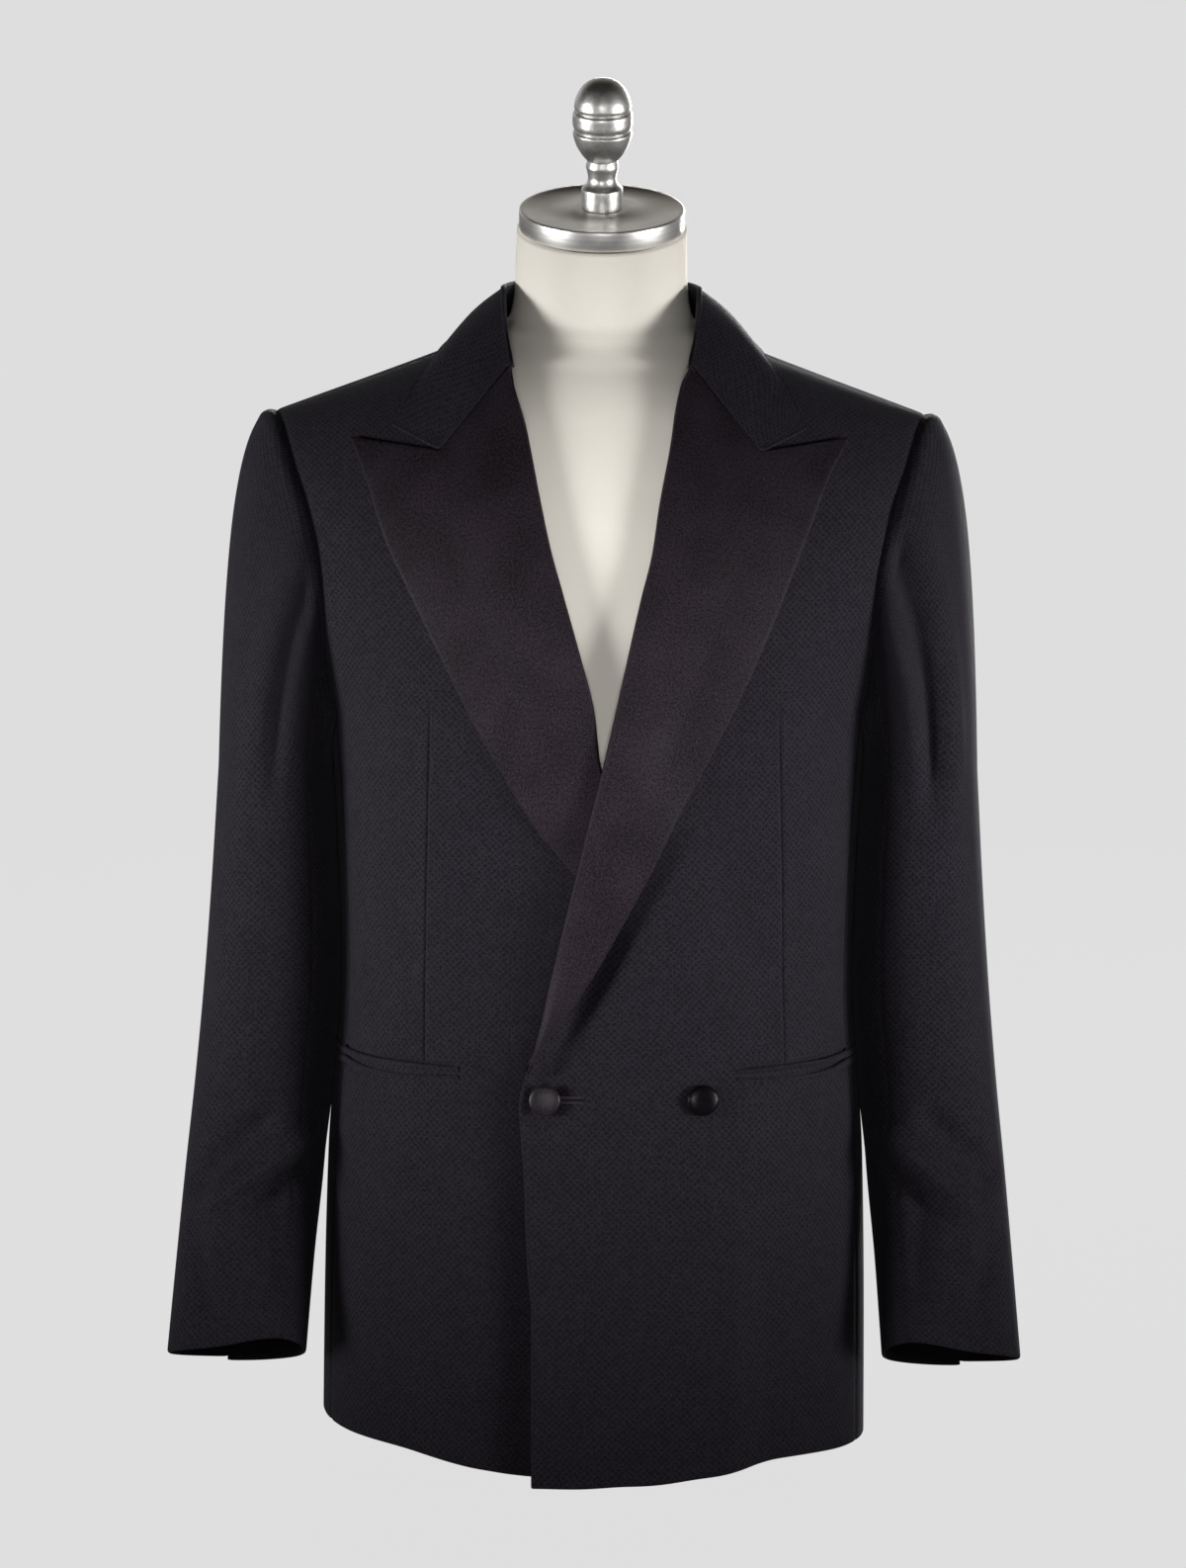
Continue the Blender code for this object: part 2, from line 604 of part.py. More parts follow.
def fold_depth(share, z):
    """Soft troughs and ridges along short slanting lines of the sleeve."""
    depth = np.zeros(np.broadcast(share, z).shape)
    for a0, z0, a1, z1, width, height in zip(*(SLEEVE_FOLDS[k] for k in SLEEVE_FOLDS)):
        reach = np.clip((share - a0) / (a1 - a0), 0, 1)
        middle = z0 + (z1 - z0) * reach
        fade = smooth(1.25 - np.abs(share - (a0 + a1) / 2) / (0.6 * abs(a1 - a0)))
        depth += height * np.exp(-(((z - middle) / width) ** 2)) * fade
    return depth


def sleeve(share, down):
    """The sleeve's surface: down 0 is the armhole seam and 1 the cuff; share goes round from the outside forwards."""
    share, down = np.broadcast_arrays(share, down)
    around = np.mod(share, 1.0)
    crown = (1 + np.cos(2 * math.pi * around)) / 2
    top = armhole_ring(around) + (SLEEVE_START, 0.0, 0.0)
    biceps = SLEEVE["z"][0]
    ring = sleeve_ring(around, np.full(around.shape, biceps))
    ahead = np.sin(2 * math.pi * around)
    push = CAP_PUSH[0] + (CAP_PUSH[1] - CAP_PUSH[0]) * crown**2
    start = np.stack([push, -0.045 * ahead, 0.012 * crown], -1)
    fall = CAP_FALL[0] + (CAP_FALL[1] - CAP_FALL[0]) * crown
    finish = np.stack([0.02 * fall, np.zeros_like(fall), -fall], -1)
    t = np.clip(down / CAP_SHARE, 0, 1)[..., None]
    cap = top * (1 + 2 * t) * (1 - t) ** 2 + start * t * (1 - t) ** 2
    cap = cap + ring * t * t * (3 - 2 * t) + finish * t * t * (t - 1)
    low = SLEEVE["z"][-1]
    z = biceps - (biceps - low) * np.clip((down - CAP_SHARE) / (1 - CAP_SHARE), 0, 1)
    tube = sleeve_ring(around, z)
    middle = np.stack([(column(SLEEVE, "z", z, "outer") + column(SLEEVE, "z", z, "inner")) / 2,
                       column(SLEEVE, "z", z, "y"), z], -1)
    tube = tube + unit(tube - middle) * fold_depth(around, z)[..., None]
    return np.where((down > CAP_SHARE)[..., None], tube, cap)


def hind_seam(down):
    return HIND_SEAM[0] + (HIND_SEAM[1] - HIND_SEAM[0]) * down


def topsleeve_shares(down):
    """Columns of the upper piece, from the hind seam past the crown, at share 0, to the fore seam."""
    gap = SEAM / 2 / SLEEVE_GIRTH
    behind = (hind_seam(down)[:, None] - 1 + gap) * (1 - np.array(BEHIND_CROWN))
    ahead = np.repeat((FORE_SEAM - gap) * np.array(AHEAD_OF_CROWN)[None, :], len(down), 0)
    return np.concatenate([behind, ahead], 1)


def undersleeve_shares(down):
    gap = SEAM / 2 / SLEEVE_GIRTH
    part = np.linspace(0, 1, 8)[None, :]
    return (FORE_SEAM + gap) * (1 - part) + (hind_seam(down)[:, None] - gap) * part


def sleeve_piece(name, shares, side):
    down = np.concatenate([np.linspace(0, CAP_SHARE, 9)[:-1], np.linspace(CAP_SHARE, 1, 14)])
    share = shares(down)
    down = np.repeat(down[:, None], share.shape[1], 1)
    points = sleeve(share, down)
    near = np.clip(down, NUDGE, 1 - NUDGE)
    out = normals_of(sleeve, share, near, NUDGE, NUDGE)
    middle = sleeve(share, near) - sleeve(share + 0.5, near)
    out *= np.sign(np.sum(out * middle, -1, keepdims=True))
    wall(name, "suiting", mirrored(points, side), mirrored(points - out * CLOTH, side))


# ---------------------------------------------------------------- collar and lapels
def shoulder_point(x, slope):
    return shoulder_slope(x, 1 - np.abs(slope), slope <= 0)


def lifted_shoulder_point(x, slope, lift):
    def surface(a, b):
        return shoulder_point(a, b)

    out = normals_of(surface, x, slope, 0.001, 0.006)
    out *= np.sign(out[..., 2:3] + 1e-9)
    return shoulder_point(x, slope) + out * lift


def gorge_line(share, corner):
    """Top edge of a lapel or front end of the collar: along the gorge seam, then along the notch."""
    x = np.interp(share, (0, NOTCH_AT, 1), (GORGE[0], NOTCH[0], corner[0]))
    z = np.interp(share, (0, NOTCH_AT, 1), (GORGE[1], NOTCH[1], corner[1]))
    return x, z


def collar_piece():
    """Stand, fold and fall in one wall; its front ends lie along the gorges."""
    w = np.linspace(-1, 1, 25)
    at = np.abs(w)
    seam_w = np.linspace(0, 1, len(NECKLINE["x"]))
    seam_at = along(at, seam_w, NECKLINE["x"]), along(at, seam_w, NECKLINE["slope"])
    seam = lifted_shoulder_point(seam_at[0] - STAND_LIFT, seam_at[1], STAND_LIFT)
    fold = np.stack([column(COLLAR, "w", at, "fold_" + k) for k in "xyz"], -1)
    edge_at = column(COLLAR, "w", at, "edge_x"), column(COLLAR, "w", at, "edge_slope")
    edge = lifted_shoulder_point(edge_at[0], edge_at[1], LAY)
    away = unit((fold - (0.0, NECK_Y, 0.0)) * (1, 1, 0))
    rows = []
    for t in (0.0, 0.4, 0.8):
        rows.append(seam + (fold - (0, 0, FOLD_RADIUS * 1.5) - seam) * t)
    for turn in (-60, 0, 60):
        lift = math.cos(math.radians(turn)) * FOLD_RADIUS
        rows.append(fold + away * FOLD_RADIUS * (1 + math.sin(math.radians(turn))) + (0, 0, lift - FOLD_RADIUS))
    start = fold + away * FOLD_RADIUS * 2 - (0, 0, FOLD_RADIUS * 1.3)
    for t in np.linspace(0, 1, FALL_ROWS):
        bulge = FALL_BOW * math.sin(math.pi * t)
        rows.append(start + (edge - start) * t + (away * 0.6 + (0, 0, 0.8)) * bulge)
    grid = np.stack(rows, 0)
    end_x, end_z = gorge_line(np.linspace(0, 1, FALL_ROWS), COLLAR_CORNER)
    end = on_front(end_x + 0.0002, end_z + SEAM, LAY)
    weight = smooth((at - 0.66) / 0.34) ** 1.5
    for k in range(FALL_ROWS):
        target = end[k] if k else end[0] + (0, 0, 0.002)
        row = grid[6 + k]
        grid[6 + k] = row + weight[:, None] * (target - row[-1])
    grid = grid * np.stack([np.where(w < 0, -1.0, 1.0), np.ones_like(w), np.ones_like(w)], -1)[None]
    out = -grid_normals(grid)
    wall("collar", "suiting", grid, grid + out * COLLAR_WALL)


def lapel_grid(u, v, roll, edge):
    """x and z of a lapel: u runs from the roll line to the outer edge, v from the break to the gorge."""
    break_z = edge["z"][0] - 0.006
    z_roll = break_z + (GORGE[1] - break_z) * v
    x_roll = along(z_roll, roll["z"], roll["x"])
    x_edge, z_edge = column(edge, "v", v, "x"), column(edge, "v", v, "z")
    x_top, z_top = gorge_line(u, PEAK)
    pull = v**5
    x = x_roll * (1 - u) + x_edge * u + pull * (x_top - (GORGE[0] * (1 - u) + PEAK[0] * u))
    z = z_roll * (1 - u) + z_edge * u + pull * (z_top - (GORGE[1] * (1 - u) + PEAK[1] * u))
    return x, z


def lapel(label, side, roll, edge):
    u = np.array([0, 0.05, 0.2, 0.44, 0.62, 0.8, 1.0])[None, :]
    v = (np.linspace(0, 1, 24) ** 0.9)[:, None]
    x, z = lapel_grid(u, v, roll, edge)
    z = z - (SEAM / 2 + LAPEL_DROP * (1 - u) ** 6) * v**5
    shown = smooth((0.98 - v) * 5) * smooth((v - 0.22) / 0.3 if side < 0 else 1 + 0 * v)
    stand = LAY + LAPEL_BOW * np.sin(math.pi * np.clip(u / 0.6, 0, 1)) * (1 - 0.4 * u) * shown
    stand = stand - LAPEL_TUCK * smooth(1 - u / 0.05)
    if side > 0:
        stand = stand + overlap_lift(x, z)
    wall("lapel_" + label, "satin", mirrored(on_front(x, z, stand), side), mirrored(on_front(x, z, stand - SATIN), side))


# ---------------------------------------------------------------- pockets and buttons
def jet(name, side, hem, low, high):
    """One jet of a hip pocket, between two shares of the pocket's height."""
    angle = np.radians(np.linspace(POCKET["angle"][0], POCKET["angle"][-1] - 1, 15))[None, :]
    upper, lower = (along(np.degrees(angle), POCKET["angle"], POCKET[k]) for k in ("upper", "lower"))
    share = np.array([low, high])[:, None]
    z = lower + (upper - lower) * share
    angle = np.repeat(angle, 2, 0)
    base = hem_height(hem, angle)
    level = (z - base) / (CHEST - base)

    def surface(a, b):
        return torso(a, b, hem_height(hem, a))

    points = surface(angle, level)
    out = normals_of(surface, angle, level, NUDGE, NUDGE)
    out *= np.sign(np.sum(out * (points - (0, 0, 0.3)), -1, keepdims=True))
    base_lift = SEAM + (overlap_lift(points[..., 0], points[..., 2])[..., None] if side > 0 else 0.0)
    wall(name, "suiting", mirrored(points + out * (base_lift + JET_WALL), side), mirrored(points + out * base_lift, side))


def button_profile(radius):
    """Radius and height of a covered button: a short shank under a domed disc."""
    return ((0.30 * radius, 0.0), (0.34 * radius, 0.0012), (0.86 * radius, 0.0016), (1.00 * radius, 0.0026),
            (0.95 * radius, 0.0036), (0.70 * radius, 0.0046), (0.34 * radius, 0.0051))


def turned(name, finish, profile, centre, axis, segments, scale=1.0):
    """A solid turned about an axis through centre, from its radii and heights."""
    axis = unit(np.array(axis, float))
    beside = unit(np.cross(axis, (0.0, 0.0, 1.0) if abs(axis[2]) < 0.9 else (1.0, 0.0, 0.0)))
    third = np.cross(axis, beside)
    angle = np.linspace(0, 2 * math.pi, segments, endpoint=False)
    circle = np.cos(angle)[:, None] * beside + np.sin(angle)[:, None] * third
    rings = np.array([np.array(centre) + circle * r * scale + axis * h * scale for r, h in profile])
    return stack_of_rings(name, finish, rings)


def front_buttons():
    for label, (x, z) in BUTTONS.items():
        x, z = np.array(x), np.array(z)
        lift = overlap_lift(x, z) + SEAM
        seat = on_front(x, z, lift)
        out = on_front(x, z, lift + 0.01) - seat
        turned("button_" + label, "satin", button_profile(BUTTON_RADIUS), seat, out, 18)


def cuff_buttons(label, side):
    for k in range(4):
        share = np.array(HIND_SEAM[1] + 0.030)
        down = np.array(0.925 - 0.036 * k)
        out = normals_of(sleeve, share, down, NUDGE, NUDGE)
        out = out * np.sign(np.sum(out * (sleeve(share, down) - sleeve(share + 0.5, down))))
        centre = mirrored(sleeve(share, down) + out * SEAM, side)
        profile = button_profile(CUFF_BUTTON_RADIUS)[::2]
        turned("cuff_button_%s_%d" % (label, k + 1), "satin", profile, centre, mirrored(out, side), 12)


# ---------------------------------------------------------------- dress form
def form():
    """Limbless torso and neck: level sections that stay under the cloth, the last ones slanted."""
    heights = np.concatenate([FORM["z"][:3], np.linspace(0.12, 0.70, 10), FORM["z"][12:]])
    angle = np.linspace(0, 2 * math.pi, 32, endpoint=False)[None, :]
    z = heights[:, None]
    ahead = np.cos(angle) > 0
    value = {k: column(FORM, "z", z, k) for k in FORM}
    depth = np.where(ahead, value["front"], value["back"])
    x, deep = squircle(angle, value["half_width"], depth, value["power"])
    y = value["y"] - deep
    high = z + FORM_CLEARANCE
    front_limit = front_y(x, high) + FORM_CLEARANCE
    back_limit = back_y(x, high) - FORM_CLEARANCE
    covered = ((np.abs(x) > FORM_NECK_FREE) & (high < 0.80)) | (~ahead & (high < 0.80))
    y = np.where(covered, np.clip(y, np.minimum(front_limit, value["y"] - 0.001),
                                  np.maximum(back_limit, value["y"] + 0.001)), y)
    level = np.broadcast_to(z, y.shape) + value["slope"] * (y - NECK_Y)
    stack_of_rings("form_torso", "canvas", np.stack([x, y, level], -1))


def foot():
    """Round foot under the torso, which the form stands on."""
    profile = ((FOOT_RADIUS, 0.0), (FOOT_RADIUS, 0.010), (FOOT_RADIUS - 0.004, 0.014), (0.048, 0.018),
               (0.042, 0.026), (0.042, FORM["z"][0] - SEAM))
    turned("form_foot", "cast", profile, (0.0, -DEPTH_SHIFT, 0.0), (0.0, 0.0, 1.0), 32)


def neck_fittings():
    axis = np.array((0.0, -math.sin(NECK_TILT), math.cos(NECK_TILT)))
    seat = np.array((0.0, NECK_Y, CAP_SEAT_Z)) + axis * SEAM
    rim = ((CAP_RADIUS - CAP_BEVEL, 0.0), (CAP_RADIUS, CAP_BEVEL), (CAP_RADIUS, CAP_THICKNESS - CAP_BEVEL),
           (CAP_RADIUS - CAP_BEVEL, CAP_THICKNESS))
    turned("neck_cap", "brushed", rim, seat, axis, 32)
    top = seat + axis * (CAP_THICKNESS + SEAM)
    turned("finial", "cast", (*FINIAL, (0.0012, FINIAL_HEIGHT)), top, axis, 20)


def main():
    for old in list(bpy.data.objects):
        bpy.data.objects.remove(old, do_unlink=True)
    for label, side, roll, hem in sides():
        forepart(label, side, roll, hem)
        side_body(label, side, hem)
        back_panel(label, side, hem)
        sleeve_piece("topsleeve_" + label, topsleeve_shares, side)
        sleeve_piece("undersleeve_" + label, undersleeve_shares, side)
        lapel(label, side, roll, LAPEL_EDGE_OVER if side > 0 else LAPEL_EDGE_UNDER)
        jet("jet_lower_" + label, side, hem, 0.0, JET_SHARE)
        jet("jet_upper_" + label, side, hem, 1 - JET_SHARE, 1.0)
        cuff_buttons(label, side)
    collar_piece()
    front_buttons()
    form()
    foot()
    neck_fittings()


main()
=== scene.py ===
"""Double-breasted dinner jacket with satin lapels, worn by a limbless dress form.

Metres, +Z up, the front faces -Y and the wearer's left is at +X. Tables give the wearer's left half and the other
half is mirrored, unless a table is named for one side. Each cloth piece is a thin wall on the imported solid's form.
"""

import math

import bpy
import numpy as np
from mathutils import Euler, Matrix


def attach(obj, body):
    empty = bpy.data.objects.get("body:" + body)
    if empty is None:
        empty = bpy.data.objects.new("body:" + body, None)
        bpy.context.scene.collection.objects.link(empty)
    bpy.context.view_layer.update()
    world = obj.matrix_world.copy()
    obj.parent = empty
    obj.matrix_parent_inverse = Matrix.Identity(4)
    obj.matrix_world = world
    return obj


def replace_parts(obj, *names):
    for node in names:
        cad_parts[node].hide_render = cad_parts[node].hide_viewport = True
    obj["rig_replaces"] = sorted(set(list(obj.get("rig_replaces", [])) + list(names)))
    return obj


bl_info = {
    "name": "Dinner Jacket on a Dress Form",
    "version": (1, 0, 0),
    "blender": (4, 5, 0),
    "location": "3D View > Sidebar > Jacket",
    "description": "Builds a double-breasted dinner jacket on its dress form, piece by piece",
    "category": "Add Mesh",
}

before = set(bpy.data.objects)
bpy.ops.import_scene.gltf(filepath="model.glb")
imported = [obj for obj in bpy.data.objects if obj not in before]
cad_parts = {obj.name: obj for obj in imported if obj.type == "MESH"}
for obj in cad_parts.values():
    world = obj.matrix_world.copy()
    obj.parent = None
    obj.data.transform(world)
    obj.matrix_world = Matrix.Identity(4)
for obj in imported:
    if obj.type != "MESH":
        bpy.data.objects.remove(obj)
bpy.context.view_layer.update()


# ---------------------------------------------------------------- sizes that the pieces share
def table(names, *rows):
    """Named columns of a short table."""
    return dict(zip(names.split(), np.array(rows, float).T))


CHEST = 0.530  # height of the armhole's front and back notches
ARMHOLE_DIP = 0.025  # how far the armhole sinks between them
SIDE_FRONT, SIDE_BACK = math.radians(76), math.radians(105)  # the side body's seams, round from the centre front
GIRTH_POWER, FRONT_POWER, BACK_POWER = 2.35, 2.1, 2.6  # superellipses of the level and of the upright sections
NOMINAL_RISE = 0.24  # of the shoulders above CHEST, where BODY is read
DEPTH_SHIFT = 0.0039  # centres the part in Y
SEAM = 0.0003
SEWN = -0.0001  # sewn edges of the cloth meet, and pass each other by this much
SEAM_WIDTH, SLEEVE_SEAM_WIDTH, EDGE_WIDTH, EDGE_SHARE = 0.0022, 0.0020, 0.0007, 0.25  # dips of sewn and of free edges
RIM_SHARE = 0.4  # a wall's rim stands out by this share of the wall
PANEL_REACH, NECK_REACH, SLEEVE_GIRTH = 0.18, 0.13, 0.33  # turn lengths into angles or shares of the sleeve's girth
NUDGE = 0.004  # step of the small differences that give normals

BODY = table(
    "z half_width front back",
    (0.000, 0.1905, 0.140, 0.140),
    (0.120, 0.1895, 0.139, 0.143),
    (0.220, 0.1872, 0.135, 0.140),
    (0.350, 0.1785, 0.127, 0.122),
    (0.450, 0.1820, 0.133, 0.128),
    (0.530, 0.1880, 0.138, 0.134),
    (0.567, 0.1990, 0.138, 0.135),
    (0.600, 0.2115, 0.138, 0.136),
    (0.680, 0.2400, 0.136, 0.132),
    (0.800, 0.2620, 0.130, 0.125),
)
RIDGE = table(
    "x z y",
    (0.000, 0.8300, 0.016),
    (0.040, 0.8170, 0.015),
    (0.078, 0.7930, 0.013),
    (0.104, 0.7815, 0.011),
    (0.150, 0.7640, 0.009),
    (0.190, 0.7495, 0.007),
    (0.2265, 0.7365, 0.005),
    (0.270, 0.7220, 0.004),
)
ARMHOLE = table(
    "z front back",
    (0.530, 0.1815, 0.1805),
    (0.567, 0.1885, 0.1900),
    (0.626, 0.1914, 0.1985),
    (0.676, 0.2010, 0.2035),
    (0.708, 0.2118, 0.2130),
    (0.7365, 0.2265, 0.2265),
)
NECKLINE = table(
    "x slope",  # slope counts quarter turns down from the shoulder line: back > 0, front < 0
    (0.0001, 0.405),
    (0.0300, 0.380),
    (0.0550, 0.300),
    (0.0730, 0.150),
    (0.0800, 0.000),
    (0.0755, -0.100),
    (0.0685, -0.200),
    (0.0604, -0.310),
)
ROLL_OVER = table(
    "z x",  # front edge and roll line of the upper forepart, the wearer's left
    (0.000, -0.0416), (0.122, -0.0423), (0.158, -0.0453), (0.224, -0.0484), (0.270, -0.0514), (0.2906, -0.0474),
    (0.3194, -0.0395), (0.3552, -0.0322), (0.4261, -0.0164), (0.4801, -0.0039), (0.5215, 0.0060), (0.5751, 0.0177),
    (0.6200, 0.0275), (0.6556, 0.0361), (0.6870, 0.0406), (0.7251, 0.0478), (0.7630, 0.0538), (0.7753, 0.0604),
)
ROLL_UNDER = table(
    "z x",  # the same of the forepart beneath, the wearer's right
    (0.000, -0.0800), (0.270, -0.0900), (0.292, -0.0880), (0.360, -0.0600), (0.430, -0.0300), (0.509, -0.0020),
    (0.548, 0.0030), (0.583, 0.0120), (0.631, 0.0258), (0.655, 0.0328), (0.689, 0.0405), (0.7355, 0.0504),
    (0.7655, 0.0589), (0.7753, 0.0604),
)
HEM_OVER = table(
    "angle z", (-20, 0.006), (10, 0.007), (30, 0.014), (50, 0.021), (90, 0.019), (130, 0.013), (180, 0.010)
)
HEM_UNDER = table(
    "angle z", (-40, 0.022), (-15, 0.014), (10, 0.010), (30, 0.016), (50, 0.026), (90, 0.034), (130, 0.020),
    (180, 0.010),
)
OVERLAP = table(
    "z lift end",
    (0.000, 0.0095, 0.083),
    (0.240, 0.0078, 0.093),
    (0.280, 0.0082, 0.092),
    (0.360, 0.0082, 0.066),
    (0.430, 0.0082, 0.040),
    (0.510, 0.0075, 0.013),
    (0.570, 0.0030, 0.003),
    (0.640, 0.0000, 0.000),
)
OVERLAP_EASE = 0.055  # the upper forepart comes down to the torso over this width
TURNED_IN = 0.0050  # the forepart's edge stops this short of the roll line, under the lapel
LAPEL_EDGE_OVER = table(
    "v x z",
    (0.000, -0.0430, 0.3000), (0.030, -0.0293, 0.3236), (0.110, -0.0071, 0.3553), (0.280, 0.0303, 0.4259),
    (0.390, 0.0523, 0.4706), (0.480, 0.0710, 0.5061), (0.630, 0.1043, 0.5731), (0.740, 0.1236, 0.6188),
    (0.860, 0.1438, 0.6697), (0.930, 0.1562, 0.7010), (1.000, 0.1705, 0.7255),
)
LAPEL_EDGE_UNDER = table(
    "v x z",
    (0.000, -0.0850, 0.3000), (0.080, -0.0500, 0.3450), (0.180, -0.0150, 0.3980), (0.290, 0.0253, 0.4448),
    (0.340, 0.0417, 0.4654), (0.420, 0.0628, 0.4995), (0.520, 0.0847, 0.5380), (0.740, 0.1280, 0.6228),
    (0.840, 0.1461, 0.6593), (0.930, 0.1600, 0.6990), (1.000, 0.1715, 0.7240),
)
GORGE, NOTCH, PEAK, COLLAR_CORNER = (0.0604, 0.7745), (0.1092, 0.7185), (0.1710, 0.7245), (0.1410, 0.7320)
NOTCH_AT = 0.44  # share of the gorge where the notch is
COLLAR = table(
    "w fold_x fold_y fold_z edge_x edge_slope",
    (0.00, 0.0001, 0.0830, 0.822, 0.0001, 0.462),
    (0.22, 0.0400, 0.0720, 0.823, 0.0470, 0.436),
    (0.42, 0.0590, 0.0430, 0.824, 0.0800, 0.330),
    (0.52, 0.0640, 0.0220, 0.8245, 0.0945, 0.190),
    (0.60, 0.0658, 0.0060, 0.825, 0.1035, 0.030),
    (0.72, 0.0655, -0.0180, 0.818, 0.1150, -0.130),
    (0.86, 0.0640, -0.0430, 0.800, 0.1280, -0.240),
    (1.00, 0.0604, -0.0640, 0.779, 0.1410, -0.364),
)
FOLD_RADIUS, FALL_BOW, STAND_LIFT = 0.0022, 0.0030, 0.0010  # of the collar
STAND_TOP, FOLD_TURNS = 0.86, (-70, 62)  # share of the stand below the fold, and the fold's half circle in degrees
LAPEL_BELOW, CURL_SHARE = 0.0026, 0.92  # depth of a lapel's roll below its forepart, and its share of a half circle
LAPEL_TUCK = (0.010, 0.006, 0.003)  # what turns in beyond the roll
SLEEVE = table(
    "z outer inner y half_depth tilt",
    (0.490, 0.2648, 0.1872, 0.004, 0.077, 0.0),
    (0.410, 0.2696, 0.1818, 0.008, 0.072, 2.0),
    (0.340, 0.2745, 0.1805, 0.006, 0.066, 5.0),
    (0.272, 0.2803, 0.1854, -0.004, 0.060, 9.0),
    (0.205, 0.2870, 0.1902, -0.020, 0.054, 12.0),
    (0.150, 0.2920, 0.1958, -0.037, 0.049, 14.0),
    (0.082, 0.2980, 0.2010, -0.058, 0.043, 15.0),
)
SLEEVE_POWER, CAP_SHARE = 2.35, 0.36
CAP_PUSH, CAP_FALL, UNDERARM_PULL = (0.016, 0.088), (0.030, 0.350), 0.018  # start and end of the cap's curve
FORE_SEAM, HIND_SEAM = 0.355, (0.700, 0.775)  # shares round the sleeve, from the shoulder by the front
SLEEVE_START = 0.0005
HEAD_ROLL = (0.0012, 0.0085, 0.0050)  # height, place and width of the swelling at the sleeve's head
POCKET = table("angle upper lower", (39.0, 0.2962, 0.2874), (60.0, 0.2963, 0.2862), (90.0, 0.2990, 0.2862))
JET_SHARE = 0.47  # height of one jet as a share of the pair
JET_BASE, JET_RISE, JET_SLACK = 0.0003, 0.0013, 0.34
MOUTH_DIP, JET_DIP = (0.0036, 0.0020), (0.0030, 0.0009)  # depth and width of the troughs between and beside the jets
BUTTONS = {"fastened": (-0.0344, 0.2762), "show": (0.0716, 0.2760)}
BUTTON_RADIUS, CUFF_BUTTON_RADIUS = 0.0108, 0.0065
FORM = table(
    "z half_width front back power slope y",
    (0.046, 0.1620, 0.112, 0.114, 2.35, 0.0, 0.000),
    (0.050, 0.1720, 0.121, 0.123, 2.35, 0.0, 0.000),
    (0.064, 0.1790, 0.128, 0.130, 2.35, 0.0, 0.000),
    (0.120, 0.1790, 0.128, 0.132, 2.35, 0.0, 0.000),
    (0.220, 0.1765, 0.124, 0.129, 2.35, 0.0, 0.000),
    (0.350, 0.1680, 0.116, 0.111, 2.35, 0.0, 0.000),
    (0.450, 0.1715, 0.122, 0.118, 2.35, 0.0, 0.000),
    (0.530, 0.1760, 0.128, 0.124, 2.35, 0.0, 0.000),
    (0.600, 0.1810, 0.128, 0.126, 2.35, 0.0, 0.003),
    (0.660, 0.1900, 0.120, 0.121, 2.30, 0.0, 0.006),
    (0.700, 0.2030, 0.109, 0.114, 2.20, 0.0, 0.008),
    (0.722, 0.2130, 0.101, 0.108, 2.10, 0.0, 0.010),
    (0.7365, 0.2150, 0.094, 0.104, 2.00, 0.0, 0.011),
    (0.7450, 0.1935, 0.090, 0.100, 1.95, 0.0, 0.012),
    (0.7600, 0.1510, 0.081, 0.088, 1.90, 0.0, 0.014),
    (0.7750, 0.1110, 0.070, 0.076, 1.90, 0.0, 0.016),
    (0.7900, 0.0760, 0.062, 0.068, 2.00, 0.0, 0.018),
    (0.8050, 0.0630, 0.0600, 0.0620, 2.0, 0.06, 0.020),
    (0.8250, 0.0600, 0.0590, 0.0600, 2.0, 0.14, 0.020),
    (0.8635, 0.0590, 0.0590, 0.0590, 2.0, 0.2126, 0.020),
)
NECK_TILT, NECK_Y, CAP_SEAT_Z = math.radians(12), 0.020, 0.8635
NECK_FOOT, NECK_HALF = 0.80, 0.064  # height where the form's neck starts, and half its width there
FRONT_CLEAR, BACK_CLEAR = 0.0062, 0.0035  # the form's shoulders keep this far from the torso's surface
CAP_RADIUS, CAP_THICKNESS, CAP_BEVEL = 0.0575, 0.0145, 0.0013
FINIAL = (  # radius and height above the cap
    (0.0140, 0.0000), (0.0143, 0.0020), (0.0143, 0.0130), (0.0136, 0.0150), (0.0112, 0.0175), (0.0098, 0.0215),
    (0.0104, 0.0262), (0.0113, 0.0300), (0.0109, 0.0330), (0.0106, 0.0348), (0.0120, 0.0362), (0.0150, 0.0400),
    (0.0184, 0.0462), (0.0204, 0.0528), (0.0203, 0.0552), (0.0186, 0.0566), (0.0198, 0.0578), (0.0207, 0.0606),
    (0.0208, 0.0640), (0.0207, 0.0676), (0.0200, 0.0696), (0.0184, 0.0706), (0.0194, 0.0720), (0.0197, 0.0744),
    (0.0182, 0.0806), (0.0142, 0.0874), (0.0080, 0.0918), (0.0012, 0.0932),
)

